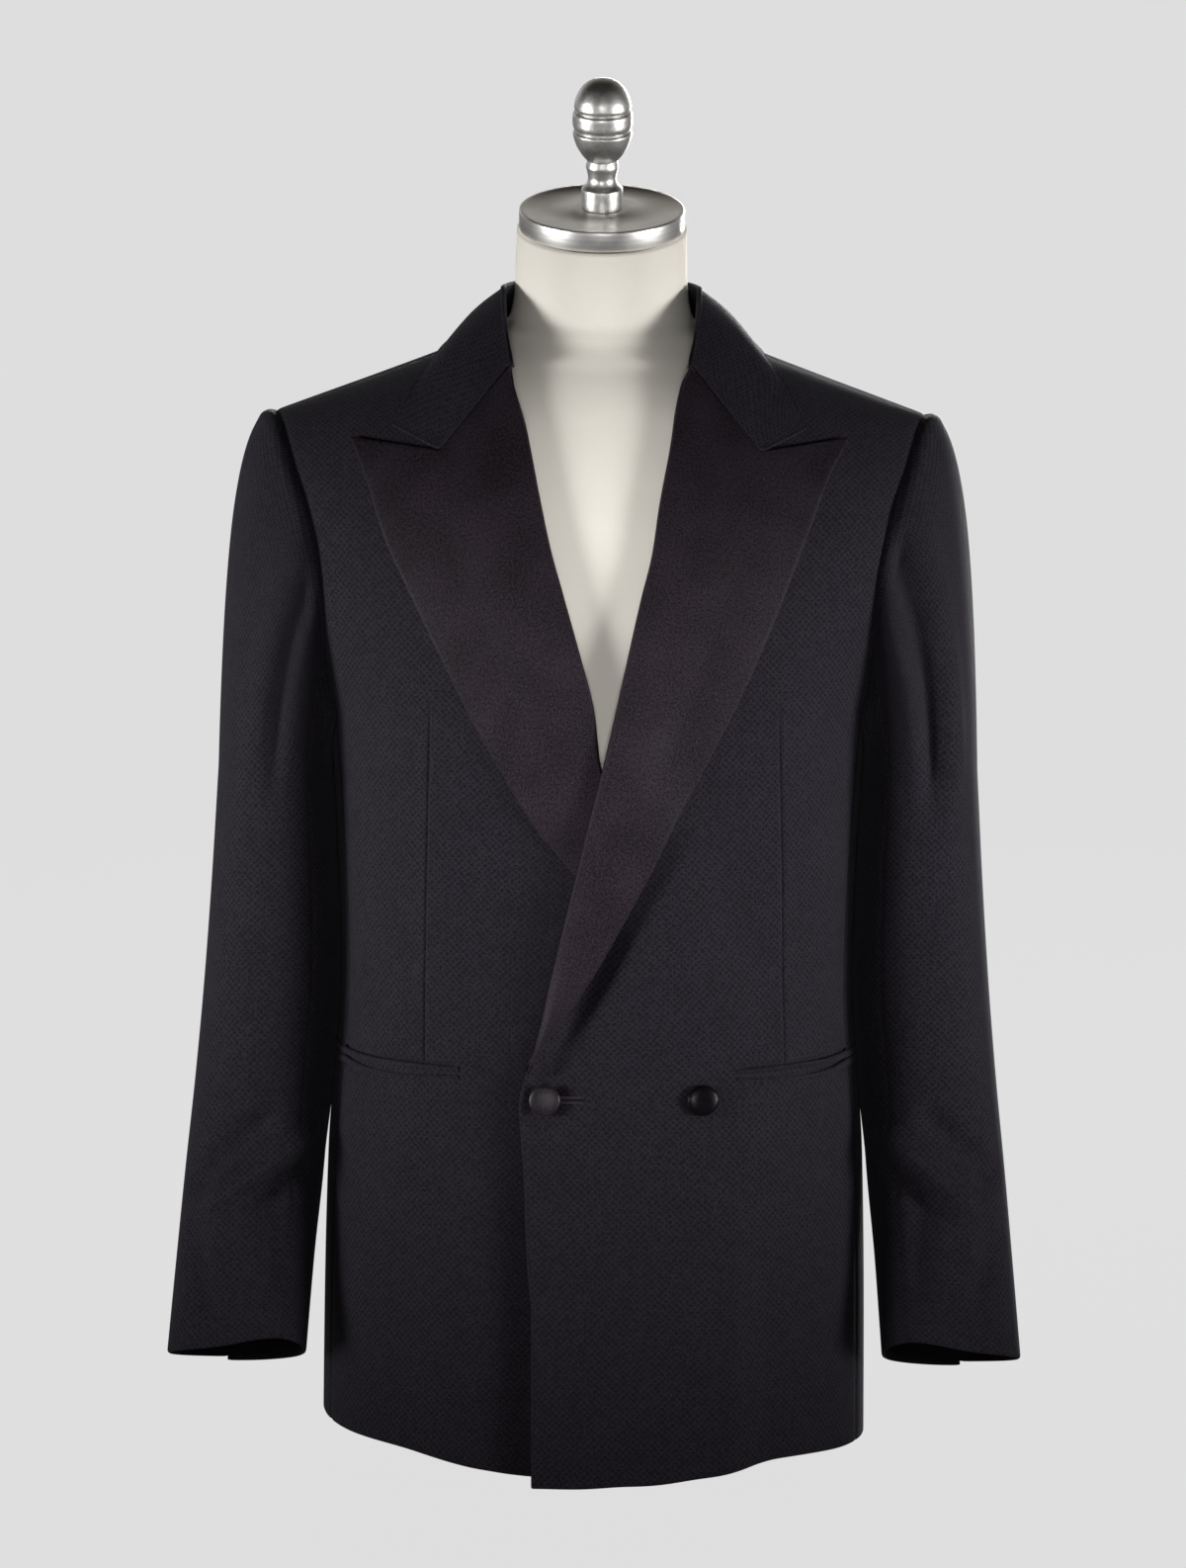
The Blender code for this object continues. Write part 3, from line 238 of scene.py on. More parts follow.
# ---------------------------------------------------------------- form that only this script has
CREASES = "across0 z0 across1 z1 width depth bend"  # straight lines, bowed sideways by bend; depth < 0 is a trough
FRONT_OVER_CREASES = table(
    CREASES,
    (-0.0480, 0.2540, 0.0200, 0.4180, 0.0120, -0.0056, 0.000),  # hollow beside the foot of the lapel
    (-0.0300, 0.2980, 0.0600, 0.4920, 0.0135, -0.0050, 0.000),
    (-0.0560, 0.2600, -0.0150, 0.3500, 0.0050, 0.0022, 0.000),
    (0.0820, 0.2600, 0.0900, -0.1500, 0.0190, 0.0044, 0.000),  # hang of the skirt
    (0.1150, 0.2400, 0.1210, -0.1500, 0.0150, -0.0024, 0.000),
    (0.0300, 0.2300, 0.0230, -0.1600, 0.0200, -0.0036, 0.000),
    (-0.0300, 0.2660, 0.0700, 0.2500, 0.0090, -0.0010, -0.004),  # pull between the buttons
    (0.1500, 0.4300, 0.1250, 0.3300, 0.0140, -0.0012, 0.004),
)
FRONT_UNDER_CREASES = table(
    CREASES,
    (0.0400, 0.2950, 0.0370, -0.1500, 0.0180, -0.0060, 0.000),  # sinks beside the edge that covers it
    (0.0460, 0.2950, 0.0430, -0.1500, 0.0340, -0.0024, 0.000),
    (0.0850, 0.2500, 0.0900, -0.1500, 0.0200, 0.0018, 0.000),
    (0.1320, 0.2300, 0.1380, -0.1500, 0.0160, -0.0014, 0.000),
    (0.0480, 0.2720, 0.1050, 0.3400, 0.0100, -0.0012, 0.003),
    (0.1500, 0.4400, 0.1250, 0.3500, 0.0140, -0.0010, 0.004),
)
UNDER_ROOM = table(CREASES, (0.0560, 0.2200, -0.0760, 0.5140, 0.0230, -0.0084, 0.000))  # below the upper front's hollow
BACK_CREASES = table(
    CREASES,
    (0.0400, 0.2500, 0.0440, -0.1500, 0.0180, 0.0018, 0.000),
    (0.0950, 0.2700, 0.1040, -0.1500, 0.0200, -0.0018, 0.000),
    (0.0300, 0.4100, 0.1300, 0.3700, 0.0110, -0.0014, 0.004),
    (0.0600, 0.3600, 0.1500, 0.3300, 0.0120, 0.0012, -0.003),
    (0.1560, 0.6600, 0.1180, 0.5300, 0.0140, -0.0018, 0.005),
)
DARTS = {
    "left": table("z x", (0.307, 0.1300), (0.548, 0.1240)), "right": table("z x", (0.301, 0.1190), (0.549, 0.1155))
}
ROUND_CREASES = "share0 z0 share1 z1 width depth bend"  # the same with shares of the sleeve's girth
SLEEVE_CREASES = {
    "left": table(
        ROUND_CREASES,
        (0.410, 0.250, 0.150, 0.180, 0.0080, 0.0066, 0.003),  # elbow: a ridge with a hollow on both sides
        (0.410, 0.220, 0.210, 0.182, 0.0075, -0.0066, 0.002),
        (0.290, 0.222, 0.318, 0.120, 0.0100, -0.0052, 0.000),
        (0.300, 0.262, 0.080, 0.198, 0.0100, -0.0072, 0.002),
        (0.120, 0.178, 0.200, 0.114, 0.0110, -0.0042, 0.000),
        (0.330, 0.310, 0.080, 0.340, 0.0130, 0.0014, 0.000),
        (0.800, 0.300, 0.960, 0.270, 0.0110, -0.0026, 0.003),
        (0.640, 0.250, 0.820, 0.225, 0.0100, -0.0022, 0.002),
        (0.195, 0.720, 0.235, 0.450, 0.0095, -0.0092, 0.001),  # hang below the sleeve's head
        (0.145, 0.720, 0.165, 0.450, 0.0090, 0.0036, 0.001),
        (0.258, 0.690, 0.288, 0.460, 0.0080, 0.0020, 0.001),
        (0.750, 0.690, 0.730, 0.500, 0.0120, -0.0020, 0.001),
    ),
    "right": table(
        ROUND_CREASES,
        (0.420, 0.246, 0.130, 0.180, 0.0080, 0.0066, 0.002),
        (0.420, 0.218, 0.220, 0.188, 0.0075, -0.0070, 0.002),
        (0.302, 0.222, 0.332, 0.116, 0.0100, -0.0052, 0.000),
        (0.320, 0.260, 0.070, 0.190, 0.0100, -0.0078, 0.002),
        (0.100, 0.190, 0.205, 0.102, 0.0110, -0.0042, 0.000),
        (0.320, 0.310, 0.090, 0.340, 0.0130, 0.0014, 0.000),
        (0.800, 0.295, 0.960, 0.262, 0.0110, -0.0026, 0.003),
        (0.640, 0.245, 0.820, 0.232, 0.0100, -0.0020, 0.002),
        (0.190, 0.700, 0.212, 0.500, 0.0090, 0.0026, 0.001),
        (0.240, 0.700, 0.262, 0.460, 0.0085, -0.0058, 0.001),
        (0.750, 0.690, 0.730, 0.500, 0.0120, -0.0020, 0.001),
    ),
}
DART_WIDTH, DART_SWELL = 0.0009, (0.0006, 0.0070)  # the dart's line, and height and width of the swelling beside it
ARMHOLE_MIDDLE, SEAM_TURN = (0.12, 0.0, 0.60), 0.0022  # where the sleeve's sewn edge turns to, and how far
# Tone is painted shade: the show button's copy of the one satin is painted darker than the fastened one's.
BUTTON_SILK_AND_SHADE = {"fastened": (0.80, 0.24, 0.40), "show": (0.22, 0.10, 0.30)}  # tone, gloss, roughness
DIMPLES, DIMPLE_RADIUS = (0.0042, 0.0014), 0.0125  # how deep and how wide the front sinks around each button
CUFF_RISE, CUFF_STEP, CUFF_REACH = 0.0085, 0.0028, 0.06  # the cuff's edge: higher in front, lower behind its vent
CUFF_BUTTON_SHARE, CUFF_BUTTON_DOWN, CUFF_BUTTON_STEP = 0.030, 0.925, 0.036  # behind the hind seam, lowest one first
HOLE_LENGTH, HOLE_HALF, HOLE_START = 0.0200, 0.0027, 0.006  # the buttonhole, from the fastened button's centre
ROLL_SHARE = 0.45  # a lapel's roll is this much narrower than high
CONTACT = 0.0003  # how far a sleeve presses on the torso beside it
LAMP_AIM = 0.49
CAMERA_AWAY, CAMERA_RISE, CAMERA_ROLL, CAMERA_LENS = 7.0, math.radians(8.5), math.radians(0.4), 230.3
CAMERA_X, CAMERA_AIM = -0.0034, 0.477
LAMPS = (  # name, degrees from the front, distance, height, lamp's width and height, share of power, spread in degrees
    ("lamp_left", -66.0, 2.6, 0.49, 1.2, 0.5, 1.1, 30.0),
    ("lamp_right", 66.0, 2.6, 0.49, 1.2, 0.5, 1.1, 30.0),
    ("lamp_front", 0.0, 4.0, 0.62, 1.0, 0.4, 0.25, 20.0),
    ("lamp_back", 168.0, 3.2, 0.90, 1.6, 1.2, 7.0, 70.0),
)
EDGE_CELLS = (0.0, 0.0005, 0.0012, 0.0024, 0.0042)  # distances from an edge of the closest rows of points


# ---------------------------------------------------------------- settings
class JacketSizes(bpy.types.PropertyGroup):
    """Sizes of the cloth and its sewing."""

    cloth: bpy.props.FloatProperty(
        name="Cloth wall", description="Thickness of the suiting with what backs it", default=0.0020, unit="LENGTH"
    )
    satin: bpy.props.FloatProperty(
        name="Satin wall", description="Thickness of a lapel", default=0.0018, unit="LENGTH"
    )
    lapel_lift: bpy.props.FloatProperty(
        name="Lapel lift", description="Height of a lapel's face above its forepart", default=0.0045, unit="LENGTH"
    )
    lapel_bow: bpy.props.FloatProperty(
        name="Lapel bow", description="How far a lapel swells beside its roll line", default=0.0022, unit="LENGTH"
    )
    seam_depth: bpy.props.FloatProperty(
        name="Seam depth", description="How far the cloth dips along a sewn edge", default=0.0009, unit="LENGTH"
    )
    dart_depth: bpy.props.FloatProperty(
        name="Dart depth", description="How far the cloth dips along a dart", default=0.0012, unit="LENGTH"
    )
    crease: bpy.props.FloatProperty(
        name="Crease strength", description="Scales all troughs and ridges of the cloth", default=1.0, subtype="FACTOR"
    )
    weave: bpy.props.FloatProperty(
        name="Weave repeat", description="Width of one woven diamond", default=0.0048, unit="LENGTH"
    )


class JacketColours(bpy.types.PropertyGroup):
    """Colours of the cloth, the form and its fittings."""

    ground: bpy.props.FloatVectorProperty(
        name="Suiting ground", description="Cloth between the woven lines", default=(0.0082, 0.0068, 0.0097),
        subtype="COLOR",
    )
    line: bpy.props.FloatVectorProperty(
        name="Suiting line", description="Woven diamond lines", default=(0.0202, 0.0176, 0.0234), subtype="COLOR"
    )
    satin: bpy.props.FloatVectorProperty(
        name="Satin", description="Lapels and covered buttons", default=(0.0124, 0.0085, 0.0123), subtype="COLOR"
    )
    lining: bpy.props.FloatVectorProperty(
        name="Lining", description="Inner side of the suiting", default=(0.0030, 0.0027, 0.0033), subtype="COLOR"
    )
    canvas: bpy.props.FloatVectorProperty(
        name="Canvas", description="Cover of the dress form", default=(0.890, 0.845, 0.760), subtype="COLOR"
    )
    metal: bpy.props.FloatVectorProperty(
        name="Metal", description="Neck cap and finial", default=(0.930, 0.910, 0.880), subtype="COLOR"
    )


class StageLight(bpy.types.PropertyGroup):
    """Backdrop and lamps."""

    backdrop: bpy.props.FloatVectorProperty(
        name="Backdrop", description="Plain pale backdrop and floor", default=(0.738, 0.738, 0.738), subtype="COLOR"
    )
    key: bpy.props.FloatProperty(
        name="Front lamps", description="Power of each soft lamp in front", default=3.4, unit="POWER"
    )
    floor: bpy.props.FloatProperty(
        name="Floor share", description="Light that the floor throws on the object, to the backdrop's", default=0.12,
        subtype="FACTOR",
    )
    dark: bpy.props.FloatProperty(
        name="Dark studio share", description="Light from above and from behind the camera, to the backdrop's",
        default=0.03, subtype="FACTOR",
    )


# ---------------------------------------------------------------- curves
def along(x, xs, ys):
    """Smooth curve through the points (xs, ys) that never overshoots them: cubic pieces with limited slopes."""
    x = np.asarray(x, float)
    if xs[0] > xs[-1]:
        xs, ys = xs[::-1], ys[::-1]
    x = np.clip(x, xs[0], xs[-1])
    step = np.diff(xs)
    rate = np.diff(ys) / step
    slope = np.empty_like(ys)
    slope[0], slope[-1] = rate[0], rate[-1]
    same = rate[:-1] * rate[1:] > 0
    slope[1:-1] = np.where(same, 2 * rate[:-1] * rate[1:] / np.where(same, rate[:-1] + rate[1:], 1.0), 0.0)
    i = np.clip(np.searchsorted(xs, x) - 1, 0, len(xs) - 2)
    t = (x - xs[i]) / step[i]
    start = ys[i] * (1 + 2 * t) * (1 - t) ** 2 + step[i] * slope[i] * t * (1 - t) ** 2
    return start + ys[i + 1] * t * t * (3 - 2 * t) + step[i] * slope[i + 1] * t * t * (t - 1)


def smooth(t):
    """Eases from 0 to 1 while t does."""
    t = np.clip(t, 0.0, 1.0)
    return t * t * (3 - 2 * t)


def hump(distance, width):
    """Bell curve: 1 at distance 0, falling away over width."""
    return np.exp(-((distance / width) ** 2))


def column(rows, key, at, name):
    """A column of a table, read along its key column."""
    return along(at, rows[key], rows[name])


def columns(rows, key, at, names):
    return [column(rows, key, at, name) for name in names.split()]


def unit(vectors):
    return vectors / np.maximum(np.linalg.norm(vectors, axis=-1, keepdims=True), 1e-12)


def stations(length, count):
    """Shares of a length from edge to edge: evenly spaced, with the EDGE_CELLS added at both ends."""
    near = np.array(EDGE_CELLS)
    middle = np.linspace(near[-1], length - near[-1], count)[1:-1]
    return np.concatenate([near, middle, length - near[::-1]]) / length


def travelled(points, axis):
    """Length walked over a grid of points along one axis."""
    steps = np.linalg.norm(np.diff(points, axis=axis), axis=-1)
    start = np.zeros_like(np.take(steps, [0], axis))
    return np.concatenate([start, np.cumsum(steps, axis)], axis)


def creases(rows, across, up, strength):
    """Sum of bell-shaped troughs and ridges along short lines, each fading out over a quarter of its length."""
    total = np.zeros(np.broadcast(across, up).shape)
    for a0, z0, a1, z1, width, depth, bend in zip(*rows.values()):
        length = math.hypot(a1 - a0, z1 - z0)
        t = ((across - a0) * (a1 - a0) + (up - z0) * (z1 - z0)) / length**2
        off = ((across - a0) * (z1 - z0) - (up - z0) * (a1 - a0)) / length
        off = off - bend * 4 * np.clip(t, 0, 1) * (1 - np.clip(t, 0, 1))
        total += depth * hump(off, width) * smooth(4 * t) * smooth(4 * (1 - t))
    return total * strength


# ---------------------------------------------------------------- the torso's surface
def squircle(angle, half_width, depth, power):
    """Level section: (|x| / half_width)^power + (|y| / depth)^power = 1, read in the direction of angle."""
    reach = (np.abs(np.sin(angle)) / half_width) ** power + (np.abs(np.cos(angle)) / depth) ** power
    radius = reach ** (-1 / power)
    return radius * np.sin(angle), radius * np.cos(angle)


def girth_depth(z, ahead):
    return np.where(ahead, *columns(BODY, "z", z, "front back"))


def girth(angle, z, ahead):
    """Level section of the torso at z."""
    return squircle(angle, column(BODY, "z", z, "half_width"), girth_depth(z, ahead), GIRTH_POWER)


def section_depth(x, z, ahead):
    share = np.clip(np.abs(x) / column(BODY, "z", z, "half_width"), 0, 1)
    return girth_depth(z, ahead) * (1 - share**GIRTH_POWER) ** (1 / GIRTH_POWER)


def shoulder_slope(x, turn, ahead):
    """Surface above CHEST: a quarter superellipse from the chest, at turn 0, to the shoulder line, at turn 1."""
    power = np.where(ahead, FRONT_POWER, BACK_POWER)
    quarter = np.clip(turn, 0, 1) * math.pi / 2
    left = np.clip(np.cos(quarter), 0, 1) ** (2 / power)
    top, top_y = columns(RIDGE, "x", np.abs(x), "z y")
    z = CHEST + (top - CHEST) * np.sin(quarter) ** (2 / power)
    y = top_y * (1 - left) + np.where(ahead, -1, 1) * section_depth(x, z, ahead) * left
    return np.stack(np.broadcast_arrays(x, y, z), -1)


def nominal_height(turn, power):
    """Height at which BODY is read for a turn above CHEST."""
    return CHEST + NOMINAL_RISE * np.sin(turn * math.pi / 2) ** (2 / power)


def torso(angle, level, hem):
    """Level 0 is the hem, 1 is CHEST and 2 the shoulder line. angle is 0 at the centre front."""
    ahead = np.cos(angle) > 0
    z = hem + np.clip(level, 0, 1) * (CHEST - hem)
    x, deep = girth(angle, z, ahead)
    low = np.stack(np.broadcast_arrays(x, -deep, z), -1)
    turn = np.clip(level - 1, 0, 1)
    x = girth(angle, nominal_height(turn, np.where(ahead, FRONT_POWER, BACK_POWER)), ahead)[0]
    return np.where((level > 1)[..., None], shoulder_slope(x, turn, ahead), low)


def torso_angle(x, level_z, ahead):
    return np.arctan2(x, np.where(ahead, 1, -1) * section_depth(x, level_z, ahead))


def face_y(x, z, ahead):
    """Y of the torso's front or back surface at x and z."""
    power = FRONT_POWER if ahead else BACK_POWER
    top, top_y = columns(RIDGE, "x", np.abs(x), "z y")
    left = (1 - np.clip((z - CHEST) / (top - CHEST), 0, 1) ** power) ** (1 / power)
    return top_y * (1 - left) + (-1 if ahead else 1) * section_depth(x, z, ahead) * left


def on_front(x, z, lift):
    """Point of the front surface at x and z, moved out by lift."""
    e = 0.0008
    across = (face_y(x + e, z, True) - face_y(x - e, z, True)) / (2 * e)
    up = (face_y(x, z + e, True) - face_y(x, z - e, True)) / (2 * e)
    out = unit(np.stack(np.broadcast_arrays(across, -1.0, up), -1))
    base = np.stack(np.broadcast_arrays(x, face_y(x, z, True), z), -1)
    return base + out * np.broadcast_to(lift, base.shape[:-1])[..., None]


def overlap_lift(x, z):
    """How far the upper forepart stands off the torso's surface."""
    lift, end = columns(OVERLAP, "z", z, "lift end")
    return lift * smooth((end + OVERLAP_EASE - x) / OVERLAP_EASE)


def turn_of(x, z, power):
    """Turn of the shoulders' slope at x and z."""
    rise = np.clip((z - CHEST) / (column(RIDGE, "x", np.abs(x), "z") - CHEST), 0, 1)
    return np.arcsin(np.clip(rise ** (power / 2), 0, 1)) * 2 / math.pi


def normals_of(surface, a, b, toward):
    """Unit normals of surface(a, b) by small differences, turned to the side that toward points to."""
    along_a = surface(a + NUDGE, b) - surface(a - NUDGE, b)
    along_b = surface(a, b + NUDGE) - surface(a, b - NUDGE)
    out = unit(np.cross(along_a, along_b))
    return out * np.sign(np.sum(out * toward, -1, keepdims=True) + 1e-12)


def grid_normals(points):
    """Unit normals of a grid of points by central differences."""
    return unit(np.cross(np.gradient(points, axis=1), np.gradient(points, axis=0)))


# ---------------------------------------------------------------- meshes and pieces
def mesh_from(name, points, quads, uv=None, lined=None):
    """Mesh from points and quads, with the threads' coordinates as its UV map and each point's lined share."""
    mesh = bpy.data.meshes.new(name)
    mesh.vertices.add(len(points))
    mesh.vertices.foreach_set("co", (points + (0.0, DEPTH_SHIFT, 0.0)).astype(np.float32).ravel())
    mesh.loops.add(quads.size)
    mesh.loops.foreach_set("vertex_index", quads.astype(np.int32).ravel())
    mesh.polygons.add(len(quads))
    mesh.polygons.foreach_set("loop_start", np.arange(0, quads.size, 4, dtype=np.int32))
    mesh.update(calc_edges=True)
    if uv is not None:
        layer = mesh.uv_layers.new(name="Threads")
        layer.data.foreach_set("uv", uv[quads.ravel()].astype(np.float32).ravel())
    if lined is not None:
        mesh.attributes.new("lined", "FLOAT", "POINT").data.foreach_set("value", lined.astype(np.float32))
    mesh.validate()
    mesh.shade_smooth()
    return mesh


def add_piece(name, mesh, material, slot, *nodes):
    """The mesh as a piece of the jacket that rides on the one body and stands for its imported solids."""
    piece = bpy.data.objects.new(name, mesh)
    bpy.context.scene.collection.objects.link(piece)
    mesh.materials.append(material)
    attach(piece, "root")
    if nodes:
        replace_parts(piece, *nodes)
    return piece


def grid_quads(rows, columns, closed=False):
    """Quads of a grid numbered row by row; closed joins the last column to the first."""
    number = np.arange(rows * columns).reshape(rows, columns)
    if closed:
        number = np.concatenate([number, number[:, :1]], 1)
    return np.stack([number[:-1, :-1], number[:-1, 1:], number[1:, 1:], number[1:, :-1]], -1).reshape(-1, 4)


def wall_mesh(name, outer, inner, uv):
    """Closed wall between two grids. Its rim has a middle line that stands out by RIM_SHARE: a rounded edge."""
    rows, columns = outer.shape[:2]
    count = rows * columns
    number = np.arange(count).reshape(rows, columns)
    away = np.zeros_like(outer)
    away[0] += unit(outer[0] - outer[1])
    away[-1] += unit(outer[-1] - outer[-2])
    away[:, 0] += unit(outer[:, 0] - outer[:, 1])
    away[:, -1] += unit(outer[:, -1] - outer[:, -2])
    rim = np.concatenate([number[0, :-1], number[:-1, -1], number[-1, :0:-1], number[:0:-1, 0]])
    after = np.roll(rim, -1)
    flat_outer, flat_inner = outer.reshape(-1, 3), inner.reshape(-1, 3)
    thick = np.linalg.norm(flat_outer[rim] - flat_inner[rim], axis=1, keepdims=True)
    middle = (flat_outer[rim] + flat_inner[rim]) / 2 + unit(away.reshape(-1, 3)[rim]) * thick * RIM_SHARE
    m = 2 * count + np.arange(len(rim))
    m_after = np.roll(m, -1)
    face = grid_quads(rows, columns)
    quads = np.concatenate([
        face, face[:, ::-1] + count, np.stack([after, rim, m, m_after], -1),
        np.stack([m_after, m, rim + count, after + count], -1),
    ])
    out = grid_normals(outer)
    if np.sum(out * (outer - inner)) < 0:
        quads = quads[:, ::-1]
    flat_uv = uv.reshape(-1, 2)
    lined = np.repeat((0.0, 1.0, 0.0), (count, count, len(rim)))
    points = np.concatenate([flat_outer, flat_inner, middle])
    return mesh_from(name, points, quads, np.concatenate([flat_uv, flat_uv, flat_uv[rim]]), lined)


def dipped(outer, out, *edges):
    """The grid lowered by a bell curve along edges, each given by the distance to it, its width and its depth."""
    for distance, width, depth in edges:
        outer = outer - out * (depth * hump(distance, width))[..., None]
    return outer


def mirrored(points, side):
    return points * (side, 1.0, 1.0)


def wall_piece(name, node, side, outer, inner, uv, material, slot="suiting"):
    """The wall between two grids of the wearer's left, turned to its side, as a piece that stands for its solid."""
    mesh = wall_mesh(name, mirrored(outer, side), mirrored(inner, side), uv * (side, 1.0))
    return add_piece(name, mesh, material, slot, node)


def declare_cloth(points):
    """Measures the piece's longest row and column; the lengths are not kept."""
    width, length = travelled(points, 1)[:, -1].max(), travelled(points, 0)[-1].max()


def turned_mesh(name, profile, centre, axis, segments):
    """Profile of radii and heights turned about an axis through centre, closed at both ends by a small disc."""
    axis = unit(np.array(axis, float))
    beside = unit(np.cross(axis, (0.0, 0.0, 1.0) if abs(axis[2]) < 0.9 else (1.0, 0.0, 0.0)))
    third = np.cross(axis, beside)
    angle = np.linspace(0, 2 * math.pi, segments, endpoint=False)
    circle = np.cos(angle)[:, None] * beside + np.sin(angle)[:, None] * third
    profile = np.array([(1e-5, profile[0][1]), *profile, (1e-5, profile[-1][1])])
    rings = np.array(centre) + circle[None] * profile[:, :1, None] + axis * profile[:, 1:, None]
    quads = grid_quads(len(profile), segments, closed=True)
    return mesh_from(name, rings.reshape(-1, 3), quads)


def rounded(profile, samples):
    """Smooth curve through a profile's points: Catmull-Rom pieces, samples to each."""
    points = np.array(profile, float)
    padded = np.concatenate([points[:1], points, points[-1:]])
    t = np.linspace(0, 1, samples, endpoint=False)[None, :, None]
    a, b, c, d = (padded[k : len(points) - 1 + k, None] for k in range(4))
    curve = 0.5 * (2 * b + (c - a) * t + (2 * a - 5 * b + 4 * c - d) * t**2 + (3 * b - a - 3 * c + d) * t**3)
    return np.concatenate([curve.reshape(-1, 2), points[-1:]])


# ---------------------------------------------------------------- materials
def new_node(tree, kind, inputs=(), **settings):
    """A node with its settings; each input is a value or a socket to link from."""
    node = tree.nodes.new(kind)
    for key, value in settings.items():
        setattr(node, key, value)
    for key, value in dict(inputs).items():
        if isinstance(value, bpy.types.NodeSocket):
            tree.links.new(value, node.inputs[key])
        else:
            node.inputs[key].default_value = value
    return node


def calc(tree, operation, first, second=0.0, third=0.0):
    return new_node(tree, "ShaderNodeMath", {0: first, 1: second, 2: third}, operation=operation).outputs[0]


def blend_colours(tree, share, first, second):
    """Mix of two colours by a share."""
    return new_node(tree, "ShaderNodeMix", {0: share, 6: first, 7: second}, data_type="RGBA").outputs[2]


def ranged(tree, value, start, end, low=0.0, high=1.0, kind="LINEAR"):
    """A value from start to end as one from low to high."""
    limits = {"Value": value, "From Min": start, "From Max": end, "To Min": low, "To Max": high}
    return new_node(tree, "ShaderNodeMapRange", limits, interpolation_type=kind).outputs[0]


def noise(tree, vector, scale, detail, roughness=0.5):
    inputs = {"Vector": vector, "Scale": scale, "Detail": detail, "Roughness": roughness}
    return new_node(tree, "ShaderNodeTexNoise", inputs).outputs


def vector_calc(tree, operation, first, second):
    inputs = {0: first, 3 if operation == "SCALE" else 1: second}
    return new_node(tree, "ShaderNodeVectorMath", inputs, operation=operation).outputs[0]


def parts_of(tree, vector):
    return new_node(tree, "ShaderNodeSeparateXYZ", {0: vector}).outputs


def object_place(tree):
    return new_node(tree, "ShaderNodeTexCoord").outputs["Object"]


def wave(tree, value, rate):
    return calc(tree, "SINE", calc(tree, "MULTIPLY", value, rate))


def dress(tree, shader, base, height, strength, distance, rough=None):
    """Links a base colour, the bump of a height and a roughness to the shader."""
    tree.links.new(base, shader.inputs["Base Color"])
    bump = new_node(tree, "ShaderNodeBump", {"Height": height, "Strength": strength, "Distance": distance})
    tree.links.new(bump.outputs[0], shader.inputs["Normal"])
    if rough is not None:
        tree.links.new(rough, shader.inputs["Roughness"])


def open_group(name, values, results):
    """New shader node group that takes threads' coordinates and values and puts out results."""
    group = bpy.data.node_groups.new(name, "ShaderNodeTree")
    group.interface.new_socket("Threads", in_out="INPUT", socket_type="NodeSocketVector")
    for label, value in values.items():
        group.interface.new_socket(label, in_out="INPUT", socket_type="NodeSocketFloat").default_value = value
    for label in results:
        group.interface.new_socket(label, in_out="OUTPUT", socket_type="NodeSocketFloat")
    return group.nodes.new("NodeGroupInput").outputs, group.nodes.new("NodeGroupOutput").inputs, group


def diamond_weave():
    """Two families of uneven slanting lines cross into diamonds, each with a dark eye and a tone of its own."""
    name = "Diamond weave"
    if name in bpy.data.node_groups:
        return bpy.data.node_groups[name]
    given, outputs, group = open_group(
        name, {"Repeat": 0.0048, "Line": 0.45}, ("Lattice", "Eye", "Cell")
    )
    threads = given["Threads"]
    pull = vector_calc(group, "SUBTRACT", noise(group, threads, 240.0, 1.0)[1], (0.5, 0.5, 0.5))
    spread = parts_of(group, vector_calc(group, "ADD", threads, vector_calc(group, "SCALE", pull, 0.0022)))
    x, y = (calc(group, "DIVIDE", spread[k], given["Repeat"]) for k in (0, 1))
    waves, cells = [], []
    for kind in ("ADD", "SUBTRACT"):
        slant = calc(group, kind, x, y)
        cells.append(calc(group, "FLOOR", slant))
        phase = calc(group, "FRACT", slant)
        waves.append(calc(group, "MULTIPLY", calc(group, "ABSOLUTE", calc(group, "SUBTRACT", phase, 0.5)), 2.0))
    low = calc(group, "SUBTRACT", 1.0, given["Line"])
    lines = [ranged(group, w, low, 1.0, kind="SMOOTHSTEP") for w in waves]
    group.links.new(calc(group, "MAXIMUM", *lines), outputs["Lattice"])
    eye = calc(group, "MULTIPLY", *(calc(group, "SUBTRACT", 1.0, w) for w in waves))
    group.links.new(eye, outputs["Eye"])
    cell = new_node(group, "ShaderNodeCombineXYZ", {0: cells[0], 1: cells[1]}).outputs[0]
    group.links.new(new_node(group, "ShaderNodeTexWhiteNoise", {"Vector": cell}).outputs[0], outputs["Cell"])
    return group


def thread_grain():
    """Fine threads both ways: the product of two sine waves, with a little noise so that they are uneven."""
    name = "Thread grain"
    if name in bpy.data.node_groups:
        return bpy.data.node_groups[name]
    given, outputs, group = open_group(name, {"Across": 2200.0, "Along": 2200.0}, ("Grain", "Speck", "Mottle"))
    threads = given["Threads"]
    spread = parts_of(group, threads)
    both = calc(group, "MULTIPLY", wave(group, spread[0], given["Across"]), wave(group, spread[1], given["Along"]))
    grain = calc(group, "MULTIPLY_ADD", both, 0.25, noise(group, threads, 900.0, 2.0)[0])
    group.links.new(grain, outputs["Grain"])
    group.links.new(noise(group, threads, 620.0, 2.0, 0.7)[0], outputs["Speck"])
    group.links.new(noise(group, threads, 26.0, 3.0)[0], outputs["Mottle"])
    return group


def place_group(tree, group, **inputs):
    return new_node(tree, "ShaderNodeGroup", inputs, node_tree=group).outputs


def new_material(name, **sockets):
    """A material whose uniform values sit on the shader's own sockets."""
    material = bpy.data.materials.get(name)
    if material:
        return material, None, None
    material = bpy.data.materials.new(name)
    material.use_nodes = True
    shader = material.node_tree.nodes["Principled BSDF"]
    for key, value in sockets.items():
        shader.inputs[key.replace("_", " ")].default_value = value
    return material, material.node_tree, shader


